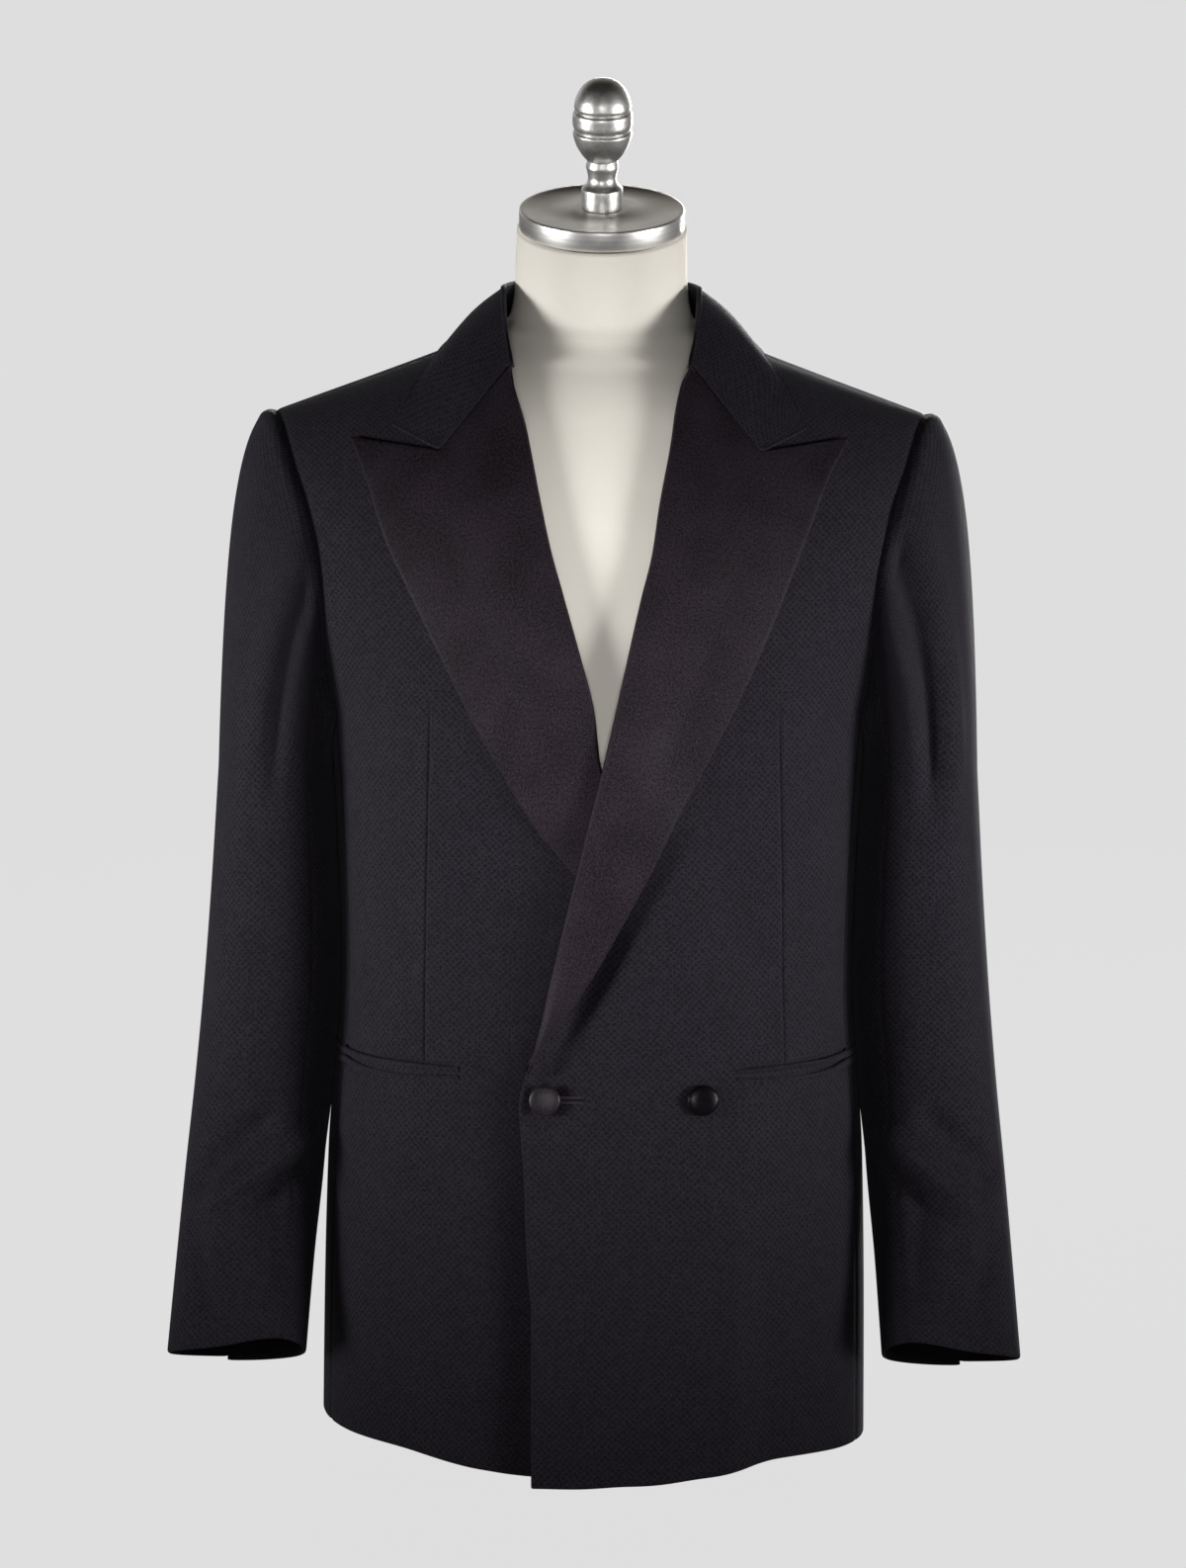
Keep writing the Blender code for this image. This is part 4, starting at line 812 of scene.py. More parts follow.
def threads_of(tree, turn=0.0):
    """The piece's UV map in metres, turned by an angle."""
    source = new_node(tree, "ShaderNodeUVMap", uv_map="Threads").outputs[0]
    if not turn:
        return source
    return new_node(tree, "ShaderNodeMapping", {"Vector": source, "Rotation": (0.0, 0.0, turn)}).outputs[0]


def suiting_material(name="Suiting", turn=0.0):
    """Near-black worsted: paler woven diamonds on a dark ground, each with a darker eye, over fine threads."""
    colours, sizes = bpy.context.scene.jacket_colours, bpy.context.scene.jacket_sizes
    material, tree, shader = new_material(name, Specular_IOR_Level=0.09, Sheen_Weight=0.03, Sheen_Roughness=0.45)
    if tree is None:
        return material
    shader.inputs["Sheen Tint"].default_value = (0.75, 0.75, 0.85, 1.0)
    threads = threads_of(tree, turn)
    weave = place_group(tree, diamond_weave(), Threads=threads, Repeat=sizes.weave, Line=0.45)
    grain = place_group(tree, thread_grain(), Threads=threads, Across=5200.0, Along=5200.0)
    shade = calc(tree, "MULTIPLY_ADD", weave["Lattice"], 0.56, -2.45)
    for output, gain in ((weave["Eye"], -0.35), (weave["Cell"], 0.42), (grain["Grain"], 0.35), (grain["Speck"], 4.2),
                         (grain["Mottle"], 0.5)):
        shade = calc(tree, "MULTIPLY_ADD", output, gain, shade)
    share = new_node(tree, "ShaderNodeClamp", {0: shade}).outputs[0]
    base = blend_colours(tree, share, (*colours.ground, 1.0), (*colours.line, 1.0))
    lined = new_node(tree, "ShaderNodeAttribute", attribute_name="lined", attribute_type="GEOMETRY").outputs["Fac"]
    base = blend_colours(tree, lined, base, (*colours.lining, 1.0))
    height = calc(tree, "MULTIPLY_ADD", weave["Lattice"], 0.6, calc(tree, "MULTIPLY", grain["Grain"], 0.5))
    dress(tree, shader, base, height, 0.55, 0.00035, calc(tree, "MULTIPLY_ADD", weave["Lattice"], -0.10, 0.84))
    return material


def satin_material(name="Satin", share=1.0, specular=0.12, rough=0.60):
    """Silk satin: long fine floats that give a broad soft sheen, with fine specks, a soft cloudiness and painted shade.
    """
    colours = bpy.context.scene.jacket_colours
    material, tree, shader = new_material(name, Specular_IOR_Level=specular)
    if tree is None:
        return material
    grain = place_group(tree, thread_grain(), Threads=threads_of(tree), Across=1500.0, Along=9000.0)
    tone = calc(tree, "ADD", calc(tree, "MULTIPLY_ADD", grain["Mottle"], 1.5, -0.75), -2.0)
    tone = calc(tree, "MAXIMUM", calc(tree, "MULTIPLY_ADD", grain["Speck"], 6.0, tone), 0.2)
    # painted shade by height: brighter low down, darker toward the shoulders where the satin faces up
    painted_shade_by_height = ranged(tree, parts_of(tree, object_place(tree))[2], 0.50, 0.74, 1.20, 0.84)  # darker toward the shoulders
    tone = calc(tree, "MULTIPLY", tone, painted_shade_by_height)
    # share darkens a copy of the satin: painted shade on the show button
    tinted = vector_calc(tree, "SCALE", tuple(c * share for c in colours.satin), tone)
    rough = ranged(tree, grain["Mottle"], 0.0, 1.0, rough - 0.05, rough + 0.05)
    dress(tree, shader, tinted, grain["Grain"], 0.25, 0.00012, rough)
    return material


def buttonhole_material():
    """Paler silk stitches either side of a slot painted black, as painted shade for the depth of the slit."""
    colours = bpy.context.scene.jacket_colours
    material, tree, shader = new_material("Buttonhole", Roughness=0.6, Specular_IOR_Level=0.2)
    if tree is None:
        return material
    spread = parts_of(tree, threads_of(tree))
    beyond = ranged(tree, calc(tree, "ABSOLUTE", spread[1]), 0.0007, 0.0011)
    stitches = calc(tree, "MULTIPLY_ADD", wave(tree, spread[0], 9000.0), 0.2, 0.8)
    pale = (*(c * 3.0 for c in colours.satin), 1.0)
    share = calc(tree, "MULTIPLY", beyond, stitches)
    # the black of the slot is painted shade
    tree.links.new(blend_colours(tree, share, (0.001, 0.001, 0.001, 1.0), pale), shader.inputs["Base Color"])
    return material


def canvas_material():
    """Cream canvas over a hard form: a plain weave of slightly uneven threads."""
    colours = bpy.context.scene.jacket_colours
    material, tree, shader = new_material("Canvas", Roughness=0.85, Specular_IOR_Level=0.25)
    if tree is None:
        return material
    here = object_place(tree)
    grain = place_group(tree, thread_grain(), Threads=here, Across=4200.0, Along=4200.0)
    tinted = vector_calc(tree, "SCALE", tuple(colours.canvas), ranged(tree, grain["Mottle"], 0.0, 1.0, 0.95, 1.04))
    weft = wave(tree, parts_of(tree, here)[2], 4800.0)
    dress(tree, shader, tinted, calc(tree, "MULTIPLY_ADD", weft, 0.3, grain["Grain"]), 0.35, 0.0002)
    return material


def metal_material(name, turned_marks, roughness):
    """Aluminium: turned_marks draws fine rings about the cap's axis, otherwise the faint pitting of a casting."""
    colours = bpy.context.scene.jacket_colours
    material, tree, shader = new_material(name, Roughness=roughness, Metallic=1.0)
    if tree is None:
        return material
    here = object_place(tree)
    if turned_marks:
        local = vector_calc(tree, "SUBTRACT", here, (0.0, NECK_Y + DEPTH_SHIFT, CAP_SEAT_Z))
        local = new_node(tree, "ShaderNodeMapping", {"Vector": local, "Rotation": (-NECK_TILT, 0.0, 0.0)}).outputs[0]
        spread = parts_of(tree, local)
        squares = (calc(tree, "POWER", spread[k], 2.0) for k in (0, 1))
        radius = calc(tree, "SQRT", calc(tree, "ADD", *squares))
        flat = new_node(tree, "ShaderNodeCombineXYZ", {"X": radius, "Z": spread[2]}).outputs[0]
        marks = noise(tree, flat, 1400.0, 3.0)[0]
    else:
        marks = noise(tree, here, 420.0, 4.0)[0]
    tinted = vector_calc(tree, "SCALE", tuple(colours.metal), ranged(tree, marks, 0.3, 0.7, 0.88, 1.06))
    rough = ranged(tree, noise(tree, here, 60.0, 3.0)[0], 0.0, 1.0, roughness - 0.08, roughness + 0.10)
    dress(tree, shader, tinted, marks, 0.35, 0.00025 if turned_marks else 0.0004, rough)
    return material


# ---------------------------------------------------------------- torso panels
def inner_line(roll):
    """Front edge, roll line and neckline of a forepart, as levels and x."""
    low = roll["z"] < CHEST
    high_turn = turn_of(roll["x"][~low], roll["z"][~low], FRONT_POWER)
    ahead = NECKLINE["slope"] <= 0
    neck_turn, neck_x = 1 + NECKLINE["slope"][ahead][::-1], NECKLINE["x"][ahead][::-1]
    later = neck_turn > high_turn[-1] + 0.02
    levels = np.concatenate([roll["z"][low] / CHEST, 1 + high_turn, 1 + neck_turn[later]])
    return levels, np.concatenate([roll["x"], neck_x[later]])


def armhole_line(which, power):
    turns = turn_of(ARMHOLE[which], ARMHOLE["z"], power)
    turns[-1] = 1.0
    return 1 + turns, ARMHOLE[which]


def level_height(level, power):
    return np.where(level > 1, nominal_height(np.clip(level - 1, 0, 1), power), level * CHEST)


def hem_height(hem, angle):
    """Height of the hem, with a slight unevenness."""
    return column(hem, "angle", np.degrees(angle), "z") + 0.0005 * np.sin(angle * 11) * np.sin(angle * 4 + 1)


def torso_over(hem):
    """The torso's surface above a hem, by angle and level."""
    return lambda angle, level: torso(angle, level, hem_height(hem, angle))


def panel_piece(name, node, side, angles, levels, hem, anchor, sewn, relief):
    """One panel of the torso. Along sewn edges the cloth dips by a bell curve; free edges are only rounded."""
    sizes = bpy.context.scene.jacket_sizes
    surface = torso_over(hem)
    base = surface(angles, levels)
    out = normals_of(surface, angles, levels, base - (0, 0.01, 0.4))
    across, up = travelled(base, 1), travelled(base, 0)
    raised = relief(base, across)
    seam, free = (SEAM_WIDTH, sizes.seam_depth), (EDGE_WIDTH, sizes.cloth * EDGE_SHARE)
    edges = {"first": across, "last": across[:, -1:] - across, "hem": up, "top": up[-1:] - up}
    edges = [(distance, *(seam if edge in sewn else free)) for edge, distance in edges.items()]
    outer = dipped(base + out * raised[..., None], out, *edges)
    inner = base + out * (raised - sizes.cloth)[..., None]
    uv = np.stack([across - across[:, anchor : anchor + 1], up + base[:1, :, 2]], -1)
    piece = wall_piece(name, node, side, outer, inner, uv, suiting_material())
    declare_cloth(base)


def forepart(label, side, roll, hem, rows):
    """Forepart with its dart. Columns run from the front edge to the dart and on to the side seam or armhole."""
    sizes = bpy.context.scene.jacket_sizes
    pocket_z = (POCKET["upper"][0] + POCKET["lower"][0]) / 2
    low = np.sort(np.concatenate([stations(CHEST, 150) * CHEST, pocket_z + np.arange(-11, 12) * 0.0008])) / CHEST
    levels = np.concatenate([low[low < 0.995], 1 + np.linspace(0, 1, 84)[:-2], 2 - np.array((0.02, 0.008, 0.003, 0.0))])
    height = level_height(levels, FRONT_POWER)
    edge_levels, edge_x = inner_line(roll)
    edge = along(levels, edge_levels, edge_x)
    turned_in = TURNED_IN * smooth((height - 0.300) / 0.03) * smooth((0.772 - height) / 0.02)
    start = torso_angle(edge + turned_in, height, True)
    arm_levels, arm_x = armhole_line("front", FRONT_POWER)
    armhole = torso_angle(along(levels, arm_levels, arm_x), height, True)
    end = np.where(levels > 1, armhole, SIDE_FRONT) - SEWN / PANEL_REACH
    dart_x = along(height, DARTS[label]["z"], DARTS[label]["x"])
    dart = torso_angle(np.clip(dart_x, edge + 0.02, None), height, True)
    first, second = stations(0.16, 44), stations(0.12, 34)
    angles = np.concatenate([
        start[:, None] + (dart - start)[:, None] * first[None, :],
        dart[:, None] + (end - dart)[:, None] * second[None, 1:],
    ], 1)
    seam_column = len(first) - 1

    def relief(base, across):
        x, z = base[..., 0], base[..., 2]
        raised = creases(rows, x, z, sizes.crease)
        if side < 0:
            raised += creases(UNDER_ROOM, x, z, sizes.crease)
        off = across - across[:, seam_column : seam_column + 1]
        shown = smooth((z - 0.296) / 0.004) * smooth((DARTS[label]["z"][-1] - z) / 0.05 + 0.35)
        raised -= shown * (sizes.dart_depth * hump(off, DART_WIDTH) - DART_SWELL[0] * hump(off, DART_SWELL[1]))
        angle = np.degrees(np.arctan2(x, -base[..., 1]))
        upper, lower = columns(POCKET, "angle", angle, "upper lower")
        mouth = smooth((angle - POCKET["angle"][0] - 1.0) / 2.0) * (angle < POCKET["angle"][-1] - 1)
        raised -= MOUTH_DIP[0] * hump(z - (upper + lower) / 2, MOUTH_DIP[1]) * mouth
        raised -= JET_DIP[0] * (hump(z - upper - 0.0005, JET_DIP[1]) + hump(z - lower + 0.0005, JET_DIP[1])) * mouth
        for (button_x, button_z), depth in zip(BUTTONS.values(), DIMPLES):
            raised -= depth * hump(np.hypot(x * side - button_x, z - button_z), DIMPLE_RADIUS) * (side > 0)
        return raised + (overlap_lift(x, z) if side > 0 else 0.0)

    levels = np.repeat(levels[:, None], angles.shape[1], 1)
    sewn = ("last", "top")
    panel_piece("forepart_" + label, "front_" + label, side, angles, levels, hem, seam_column, sewn, relief)


def back_panel(label, side, hem):
    """Back from the centre seam to the side seam or armhole."""
    sizes = bpy.context.scene.jacket_sizes
    low = stations(CHEST, 120)
    high = np.concatenate([np.linspace(0, 1, 72)[:-2], 1 - np.array((0.020, 0.010, 0.003, 0.000))])
    levels = np.concatenate([low[low < 0.995], 1 + high])
    height = level_height(levels, BACK_POWER)
    behind = NECKLINE["slope"] >= 0
    neck = along(levels - 1, 1 - NECKLINE["slope"][behind], NECKLINE["x"][behind])
    start = torso_angle(np.maximum(neck, 1e-4), height, False) - SEWN / NECK_REACH
    arm_levels, arm_x = armhole_line("back", BACK_POWER)
    armhole = torso_angle(along(levels, arm_levels, arm_x), height, False)
    end = np.where(levels > 1, armhole, SIDE_BACK) + SEWN / PANEL_REACH
    share = stations(0.20, 50)[None, :]
    angles = start[:, None] * (1 - share) + end[:, None] * share

    def relief(base, across):
        right = side < 0
        return creases(BACK_CREASES, base[..., 0] + 0.004 * right, base[..., 2] + 0.013 * right, sizes.crease)

    levels = np.repeat(levels[:, None], angles.shape[1], 1)
    sewn = ("first", "last", "top")
    panel_piece("back_panel_" + label, "back_" + label, side, angles, levels, hem, 0, sewn, relief)


def side_top(angle):
    share = (angle - SIDE_FRONT) / (SIDE_BACK - SIDE_FRONT)
    return CHEST - ARMHOLE_DIP * 4 * share * (1 - share)


def side_panel(label, side, hem):
    """Side body from hem to armhole."""
    gap = SEWN / PANEL_REACH
    share, up = stations(0.09, 18)[None, :], stations(0.51, 110)
    angles = np.repeat((SIDE_FRONT + gap) * (1 - share) + (SIDE_BACK - gap) * share, len(up), 0)
    base = hem_height(hem, angles)
    levels = up[:, None] * (side_top(angles) - base) / (CHEST - base)
    panel_piece("side_panel_" + label, "side_" + label, side, angles, levels, hem, share.size // 2,
                ("first", "last", "top"), lambda points, across: 0.0 * across)


# ---------------------------------------------------------------- sleeves
def armhole_ring(share):
    """Points of the armhole's edge: share 0 is the shoulder point, 0.25 in front, 0.5 under the arm."""
    front_levels, front_x = armhole_line("front", FRONT_POWER)
    back_levels, back_x = armhole_line("back", BACK_POWER)
    down = np.linspace(1, 0, 60)
    ahead = shoulder_slope(along(1 + down, front_levels, front_x), down, True)
    under = np.linspace(SIDE_FRONT, SIDE_BACK, 30)
    below = torso(under, side_top(under) / CHEST, np.zeros_like(under))
    behind = shoulder_slope(along(1 + down[::-1], back_levels, back_x), down[::-1], False)
    line = np.concatenate([ahead, below[1:-1], behind])
    length = np.concatenate([[0], np.cumsum(np.linalg.norm(np.diff(line, axis=0), axis=1))])
    lowest = length[60 + 14] / length[-1]
    share = np.mod(share, 1.0)
    walk = np.where(share < 0.5, share * 2 * lowest, lowest + (share - 0.5) * 2 * (1 - lowest))
    return np.stack([np.interp(walk, length / length[-1], line[:, k]) for k in range(3)], -1)


def sleeve_ring(share, z):
    """Level section of the sleeve's tube at the height z of its axis."""
    outer, inner, y, half_depth, tilt = columns(SLEEVE, "z", z, "outer inner y half_depth tilt")
    ahead, beside = squircle(share * 2 * math.pi, 1.0, 1.0, SLEEVE_POWER)
    ahead = ahead * half_depth
    x = (outer + inner) / 2 + beside * (outer - inner) / 2
    return np.stack([x, y - ahead, z + ahead * np.tan(np.radians(tilt))], -1)


def sleeve(share, down):
    """Down 0 is the armhole and 1 the cuff. A cubic curve joins the armhole's ring to the tube at the biceps."""
    share, down = np.broadcast_arrays(share, down)
    around = np.mod(share, 1.0)
    crown = (1 + np.cos(2 * math.pi * around)) / 2
    top = armhole_ring(around) + (SLEEVE_START, 0.0, 0.0)
    biceps, low = SLEEVE["z"][0], SLEEVE["z"][-1]
    ring = sleeve_ring(around, np.full(around.shape, biceps))
    push = CAP_PUSH[0] + (CAP_PUSH[1] - CAP_PUSH[0]) * crown**2 - UNDERARM_PULL * hump(around - 0.5, 0.12)
    start = np.stack([push, -0.045 * np.sin(2 * math.pi * around), 0.012 * crown], -1)
    fall = CAP_FALL[0] + (CAP_FALL[1] - CAP_FALL[0]) * crown
    finish = np.stack([0.02 * fall, np.zeros_like(fall), -fall], -1)
    t = np.clip(down / CAP_SHARE, 0, 1)[..., None]
    cap = top * (1 + 2 * t) * (1 - t) ** 2 + start * t * (1 - t) ** 2
    cap = cap + ring * t * t * (3 - 2 * t) + finish * t * t * (t - 1)
    tube = sleeve_ring(around, biceps - (biceps - low) * np.clip((down - CAP_SHARE) / (1 - CAP_SHARE), 0, 1))
    return np.where((down > CAP_SHARE)[..., None], tube, cap)


def fore_seam(down):
    return np.full_like(down, FORE_SEAM)


def hind_seam(down):
    return HIND_SEAM[0] + (HIND_SEAM[1] - HIND_SEAM[0]) * down


def sleeve_piece(name, node, label, side, first, last, columns):
    """One of the sleeve's two pieces, between its seams."""
    sizes = bpy.context.scene.jacket_sizes
    down = stations(0.62, 170)
    gap = SEWN / SLEEVE_GIRTH
    ends = first(down) + gap, last(down) - gap
    part = stations((ends[1] - ends[0]).mean() * SLEEVE_GIRTH, columns)[None, :]
    share = ends[0][:, None] * (1 - part) + ends[1][:, None] * part
    down = np.repeat(down[:, None], share.shape[1], 1)
    base = sleeve(share, down)
    near = np.clip(down, NUDGE, 1 - NUDGE)
    out = normals_of(sleeve, share, near, sleeve(share, near) - sleeve(share + 0.5, near))
    across, fallen = travelled(base, 1), travelled(base, 0)
    cuff = CUFF_RISE * hump(share - 0.35, 0.12) - CUFF_STEP * smooth((share - 0.5) / 0.25) * (node[:5] == "under")
    base = base + (0.0, 0.0, 1.0) * (cuff * smooth((CUFF_REACH - (fallen[-1:] - fallen)) / CUFF_REACH))[..., None]
    rows = {k: v * SLEEVE_GIRTH if k.startswith("share") else v for k, v in SLEEVE_CREASES[label].items()}
    z = base[..., 2]
    raised = creases(rows, share * SLEEVE_GIRTH, z, sizes.crease) * smooth(fallen / 0.02)
    crown = smooth((0.24 - np.abs(np.mod(share + 0.5, 1.0) - 0.5)) / 0.1)
    raised = raised + HEAD_ROLL[0] * hump(fallen - HEAD_ROLL[1], HEAD_ROLL[2]) * crown
    inside = sleeve(0.5, down)
    apart = np.clip(inside[..., 0] - column(BODY, "z", inside[..., 2], "half_width") + CONTACT, 0.0, 0.006)
    apart = apart * smooth((z - 0.215) / 0.045) * smooth(fallen / 0.008)
    raised = raised + apart * hump(np.mod(share, 1.0) - 0.5, 0.09)
    turned_in = unit(np.array(ARMHOLE_MIDDLE) - base) * (SEAM_TURN * hump(fallen, 0.0026))[..., None]
    outer = dipped(
        base + out * raised[..., None] + turned_in, out, (across, SLEEVE_SEAM_WIDTH, sizes.seam_depth),
        (across[:, -1:] - across, SLEEVE_SEAM_WIDTH, sizes.seam_depth),
        (fallen[-1:] - fallen, EDGE_WIDTH, sizes.cloth * EDGE_SHARE),
    )
    inner = base + out * (raised - sizes.cloth)[..., None] + turned_in
    uv = np.stack([across - across[:, across.shape[1] // 2][:, None], fallen[-1:] - fallen], -1)
    piece = wall_piece(name, node, side, outer, inner, uv, suiting_material())
    declare_cloth(base)


# ---------------------------------------------------------------- collar and lapels
def shoulder_point(x, slope):
    """Point of the shoulders at x, slope quarter turns down from the shoulder line."""
    return shoulder_slope(x, 1 - np.abs(slope), slope <= 0)


def lifted_shoulder_point(x, slope, lift):
    """Point of the shoulders at x and slope, moved up off the surface by lift."""
    out = unit(np.cross(shoulder_point(x + 0.001, slope) - shoulder_point(x - 0.001, slope),
                        shoulder_point(x, slope + 0.006) - shoulder_point(x, slope - 0.006)))
    out = out * np.sign(out[..., 2:3] + 1e-9)
    return shoulder_point(x, slope) + out * lift


def gorge_line(share, corner):
    """x and z along the gorge and the notch, to a corner of the collar or the lapel."""
    return [np.interp(share, (0, NOTCH_AT, 1), (GORGE[k], NOTCH[k], corner[k])) for k in (0, 1)]


def collar_grid(w, stand_rows, fold_rows, fall, lay):
    """Rows run up the stand, round the fold on a half circle, and down the fall; columns go round the neck."""
    at = np.abs(w)
    seam_w = np.linspace(0, 1, len(NECKLINE["x"]))
    seam_x, seam_slope = (along(at, seam_w, NECKLINE[k]) for k in ("x", "slope"))
    seam = lifted_shoulder_point(seam_x - STAND_LIFT, seam_slope, STAND_LIFT)
    fold = np.stack([column(COLLAR, "w", at, "fold_" + k) for k in "xyz"], -1)
    edge = lifted_shoulder_point(*columns(COLLAR, "w", at, "edge_x edge_slope"), lay)
    away = unit((fold - (0.0, NECK_Y, 0.0)) * (1, 1, 0))
    rows = [seam + (fold - (0, 0, FOLD_RADIUS * 1.5) - seam) * t for t in np.linspace(0, STAND_TOP, stand_rows)]
    for turn in np.radians(np.linspace(*FOLD_TURNS, fold_rows)):
        rows.append(fold + away * FOLD_RADIUS * (1 + math.sin(turn)) + (0, 0, FOLD_RADIUS * (math.cos(turn) - 1)))
    start = fold + away * FOLD_RADIUS * 2 - (0, 0, FOLD_RADIUS * 1.3)
    for t in fall:
        rows.append(start + (edge - start) * t + (away * 0.6 + (0, 0, 0.8)) * FALL_BOW * math.sin(math.pi * t))
    grid = np.stack(rows, 0)
    first = stand_rows + fold_rows
    end_x, end_z = gorge_line(fall, COLLAR_CORNER)
    end = on_front(end_x + 0.0002, end_z + SEAM, lay)
    end[0] = end[0] + (0, 0, 0.0006)
    weight = smooth((at - 0.66) / 0.34) ** 1.5
    grid[first:] += weight[None, :, None] * (end[:, None] - grid[first:, -1:])
    return grid * np.stack([np.where(w < 0, -1.0, 1.0), np.ones_like(w), np.ones_like(w)], -1)[None]


def lapel_place(u, v, roll, edge):
    """x and z of a lapel: u runs from the roll line to the outer edge, v from the break to the gorge."""
    break_z = edge["z"][0] - 0.006
    z_roll = break_z + (GORGE[1] - break_z) * v
    x_roll = along(z_roll, roll["z"], roll["x"])
    x_edge, z_edge = columns(edge, "v", v, "x z")
    x_top, z_top = gorge_line(u, PEAK)
    pull = v**5
    x = x_roll * (1 - u) + x_edge * u + pull * (x_top - (GORGE[0] * (1 - u) + PEAK[0] * u))
    z = z_roll * (1 - u) + z_edge * u + pull * (z_top - (GORGE[1] * (1 - u) + PEAK[1] * u))
    return x, z - (SEAM / 2 + 0.0008 * (1 - u) ** 6) * v**5


def lapel_piece(label, side, roll, edge):
    """Satin lapel: its face, and beyond the roll line a half round that turns in under the forepart's edge."""
    sizes = bpy.context.scene.jacket_sizes
    v = stations(0.52, 130)[:, None]
    u = stations(0.11, 38)[None, :]
    x, z = lapel_place(u, v, roll, edge)
    shown = smooth((0.98 - v) * 5) * smooth((v - 0.22) / 0.3 if side < 0 else 1 + 0 * v)
    flat = sizes.lapel_lift + sizes.lapel_bow * np.sin(math.pi * np.clip(u / 0.6, 0, 1)) * (1 - 0.4 * u) * shown
    flat = flat + 0.0006 * np.sin(v * 9 + 1.0 * side) * u * (1 - u) * shown
    open_part = smooth((v - 0.02) / 0.08) * smooth((0.985 - v) / 0.05)
    width = np.abs(x[:, -1:] - x[:, :1])
    radius = 0.5 * (flat[:, :1] + LAPEL_BELOW) * open_part * np.clip(width / 0.02, 0, 1) + 0.0002
    near = ROLL_SHARE * radius
    inset = near * (1 - u) ** 2 * (u < 1)
    x_flat = x + inset
    turn = np.linspace(math.pi, 0, 16)[None, :-1] * CURL_SHARE
    x_curl = x[:, :1] + near - near * np.sin(turn)
    h_curl = flat[:, :1] - radius + radius * np.cos(turn)
    tuck = np.array(LAPEL_TUCK)[None, :] * open_part
    xs = np.concatenate([x_curl[:, :1] + tuck, x_curl, x_flat], 1)
    zs = np.concatenate([np.repeat(z[:, :1], len(LAPEL_TUCK) + turn.shape[1], 1), z], 1)
    hs = np.concatenate([np.repeat(h_curl[:, :1], len(LAPEL_TUCK), 1), h_curl, flat], 1)
    hs = hs + (overlap_lift(xs, zs) if side > 0 else creases(UNDER_ROOM, xs, zs, sizes.crease))
    face = on_front(xs, zs, hs)
    out = grid_normals(face)
    reference = on_front(x, z, flat + 0.01) - on_front(x, z, flat)
    out *= np.sign(np.sum(out[:, -x.shape[1] :] * reference))
    across, up = travelled(face, 1), travelled(face, 0)
    past, below = across[:, -1:] - across, up[-1:] - up
    outer = dipped(face, out, (past, 0.0008, sizes.satin * 0.30), (below, 0.0008, sizes.satin * 0.30))
    inner = face - out * (sizes.satin * (1.0 - 0.5 * hump(past, 0.0025)))[..., None]
    uv = np.stack([across - across[:, -x.shape[1]][:, None], up + zs[:1]], -1)
    piece = wall_piece("satin_lapel_" + label, "lapel_" + label, side, outer, inner, uv, satin_material(), "satin")
    declare_cloth(face)


# ---------------------------------------------------------------- pockets and buttons
def jet_piece(name, node, side, hem, low, high):
    """Jet of a pocket: a strip whose section is a low half round, 1.5 mm high, that opens a little mid-way."""
    run = np.linspace(0, 1, 90)[None, :]
    angle = np.radians(POCKET["angle"][0] + (POCKET["angle"][-1] - 1 - POCKET["angle"][0]) * run)
    upper, lower = columns(POCKET, "angle", np.degrees(angle), "upper lower")
    cross = np.linspace(-1, 1, 11)[:, None]
    slack = JET_SLACK * np.sin(math.pi * np.clip(run * 1.3 + 0.08, 0, 1))
    inner_edge = high - slack if low == 0.0 else low + slack
    start, finish = (low, inner_edge) if low == 0.0 else (inner_edge, high)
    z = lower + (upper - lower) * (start + (finish - start) * (cross + 1) / 2)
    angle = np.repeat(angle, len(cross), 0)
    base_z, surface = hem_height(hem, angle), torso_over(hem)
    level = (z - base_z) / (CHEST - base_z)
    points = surface(angle, level)
    out = normals_of(surface, angle, level, points - (0, 0, 0.3))
    ends = np.sqrt(np.clip(1 - np.abs(2 * run - 1) ** 40, 0, 1))
    height = JET_BASE + JET_RISE * np.sqrt(np.clip(1 - np.abs(cross) ** 3, 0, 1)) * (0.4 + 0.6 * ends)
    lift = overlap_lift(points[..., 0], points[..., 2]) if side > 0 else 0.0 * level
    outer = points + out * (lift + height)[..., None]
    inner = points + out * (lift + 0.0002 * (1 - cross**2))[..., None]
    uv = np.stack([travelled(points, 1), travelled(points, 0)], -1) * (side, 1.0)
    wall_piece(name, node, side, outer, inner, uv, suiting_material("Suiting jets", math.radians(90)))


def button_curve(radius):
    """Covered button: short shank, rolled edge and a flat dome."""
    profile = ((0.30, 0.0), (0.32, 0.0011), (0.80, 0.0014), (0.965, 0.0018), (1.00, 0.0027), (0.955, 0.0036),
               (0.80, 0.0043), (0.50, 0.0049), (0.20, 0.0051), (0.02, 0.0051))  # share of the radius, height
    return rounded([(share * radius, height) for share, height in profile], 4)


def add_button(name, node, centre, out, radius, segments, silk):
    """Covered button whose threads run straight across its face."""
    mesh = turned_mesh(name, button_curve(radius), centre, out, segments)
    layer = mesh.uv_layers.new(name="Threads")
    place = np.empty(len(mesh.vertices) * 3, np.float32)
    mesh.vertices.foreach_get("co", place)
    corner = np.empty(len(mesh.loops), np.int32)
    mesh.loops.foreach_get("vertex_index", corner)
    layer.data.foreach_set("uv", place.reshape(-1, 3)[corner][:, (0, 2)].ravel())
    add_piece(name, mesh, silk, "satin", node)


# ---------------------------------------------------------------- operators
SIDES = (
    ("left", 1.0, ROLL_OVER, HEM_OVER, FRONT_OVER_CREASES),
    ("right", -1.0, ROLL_UNDER, HEM_UNDER, FRONT_UNDER_CREASES),
)


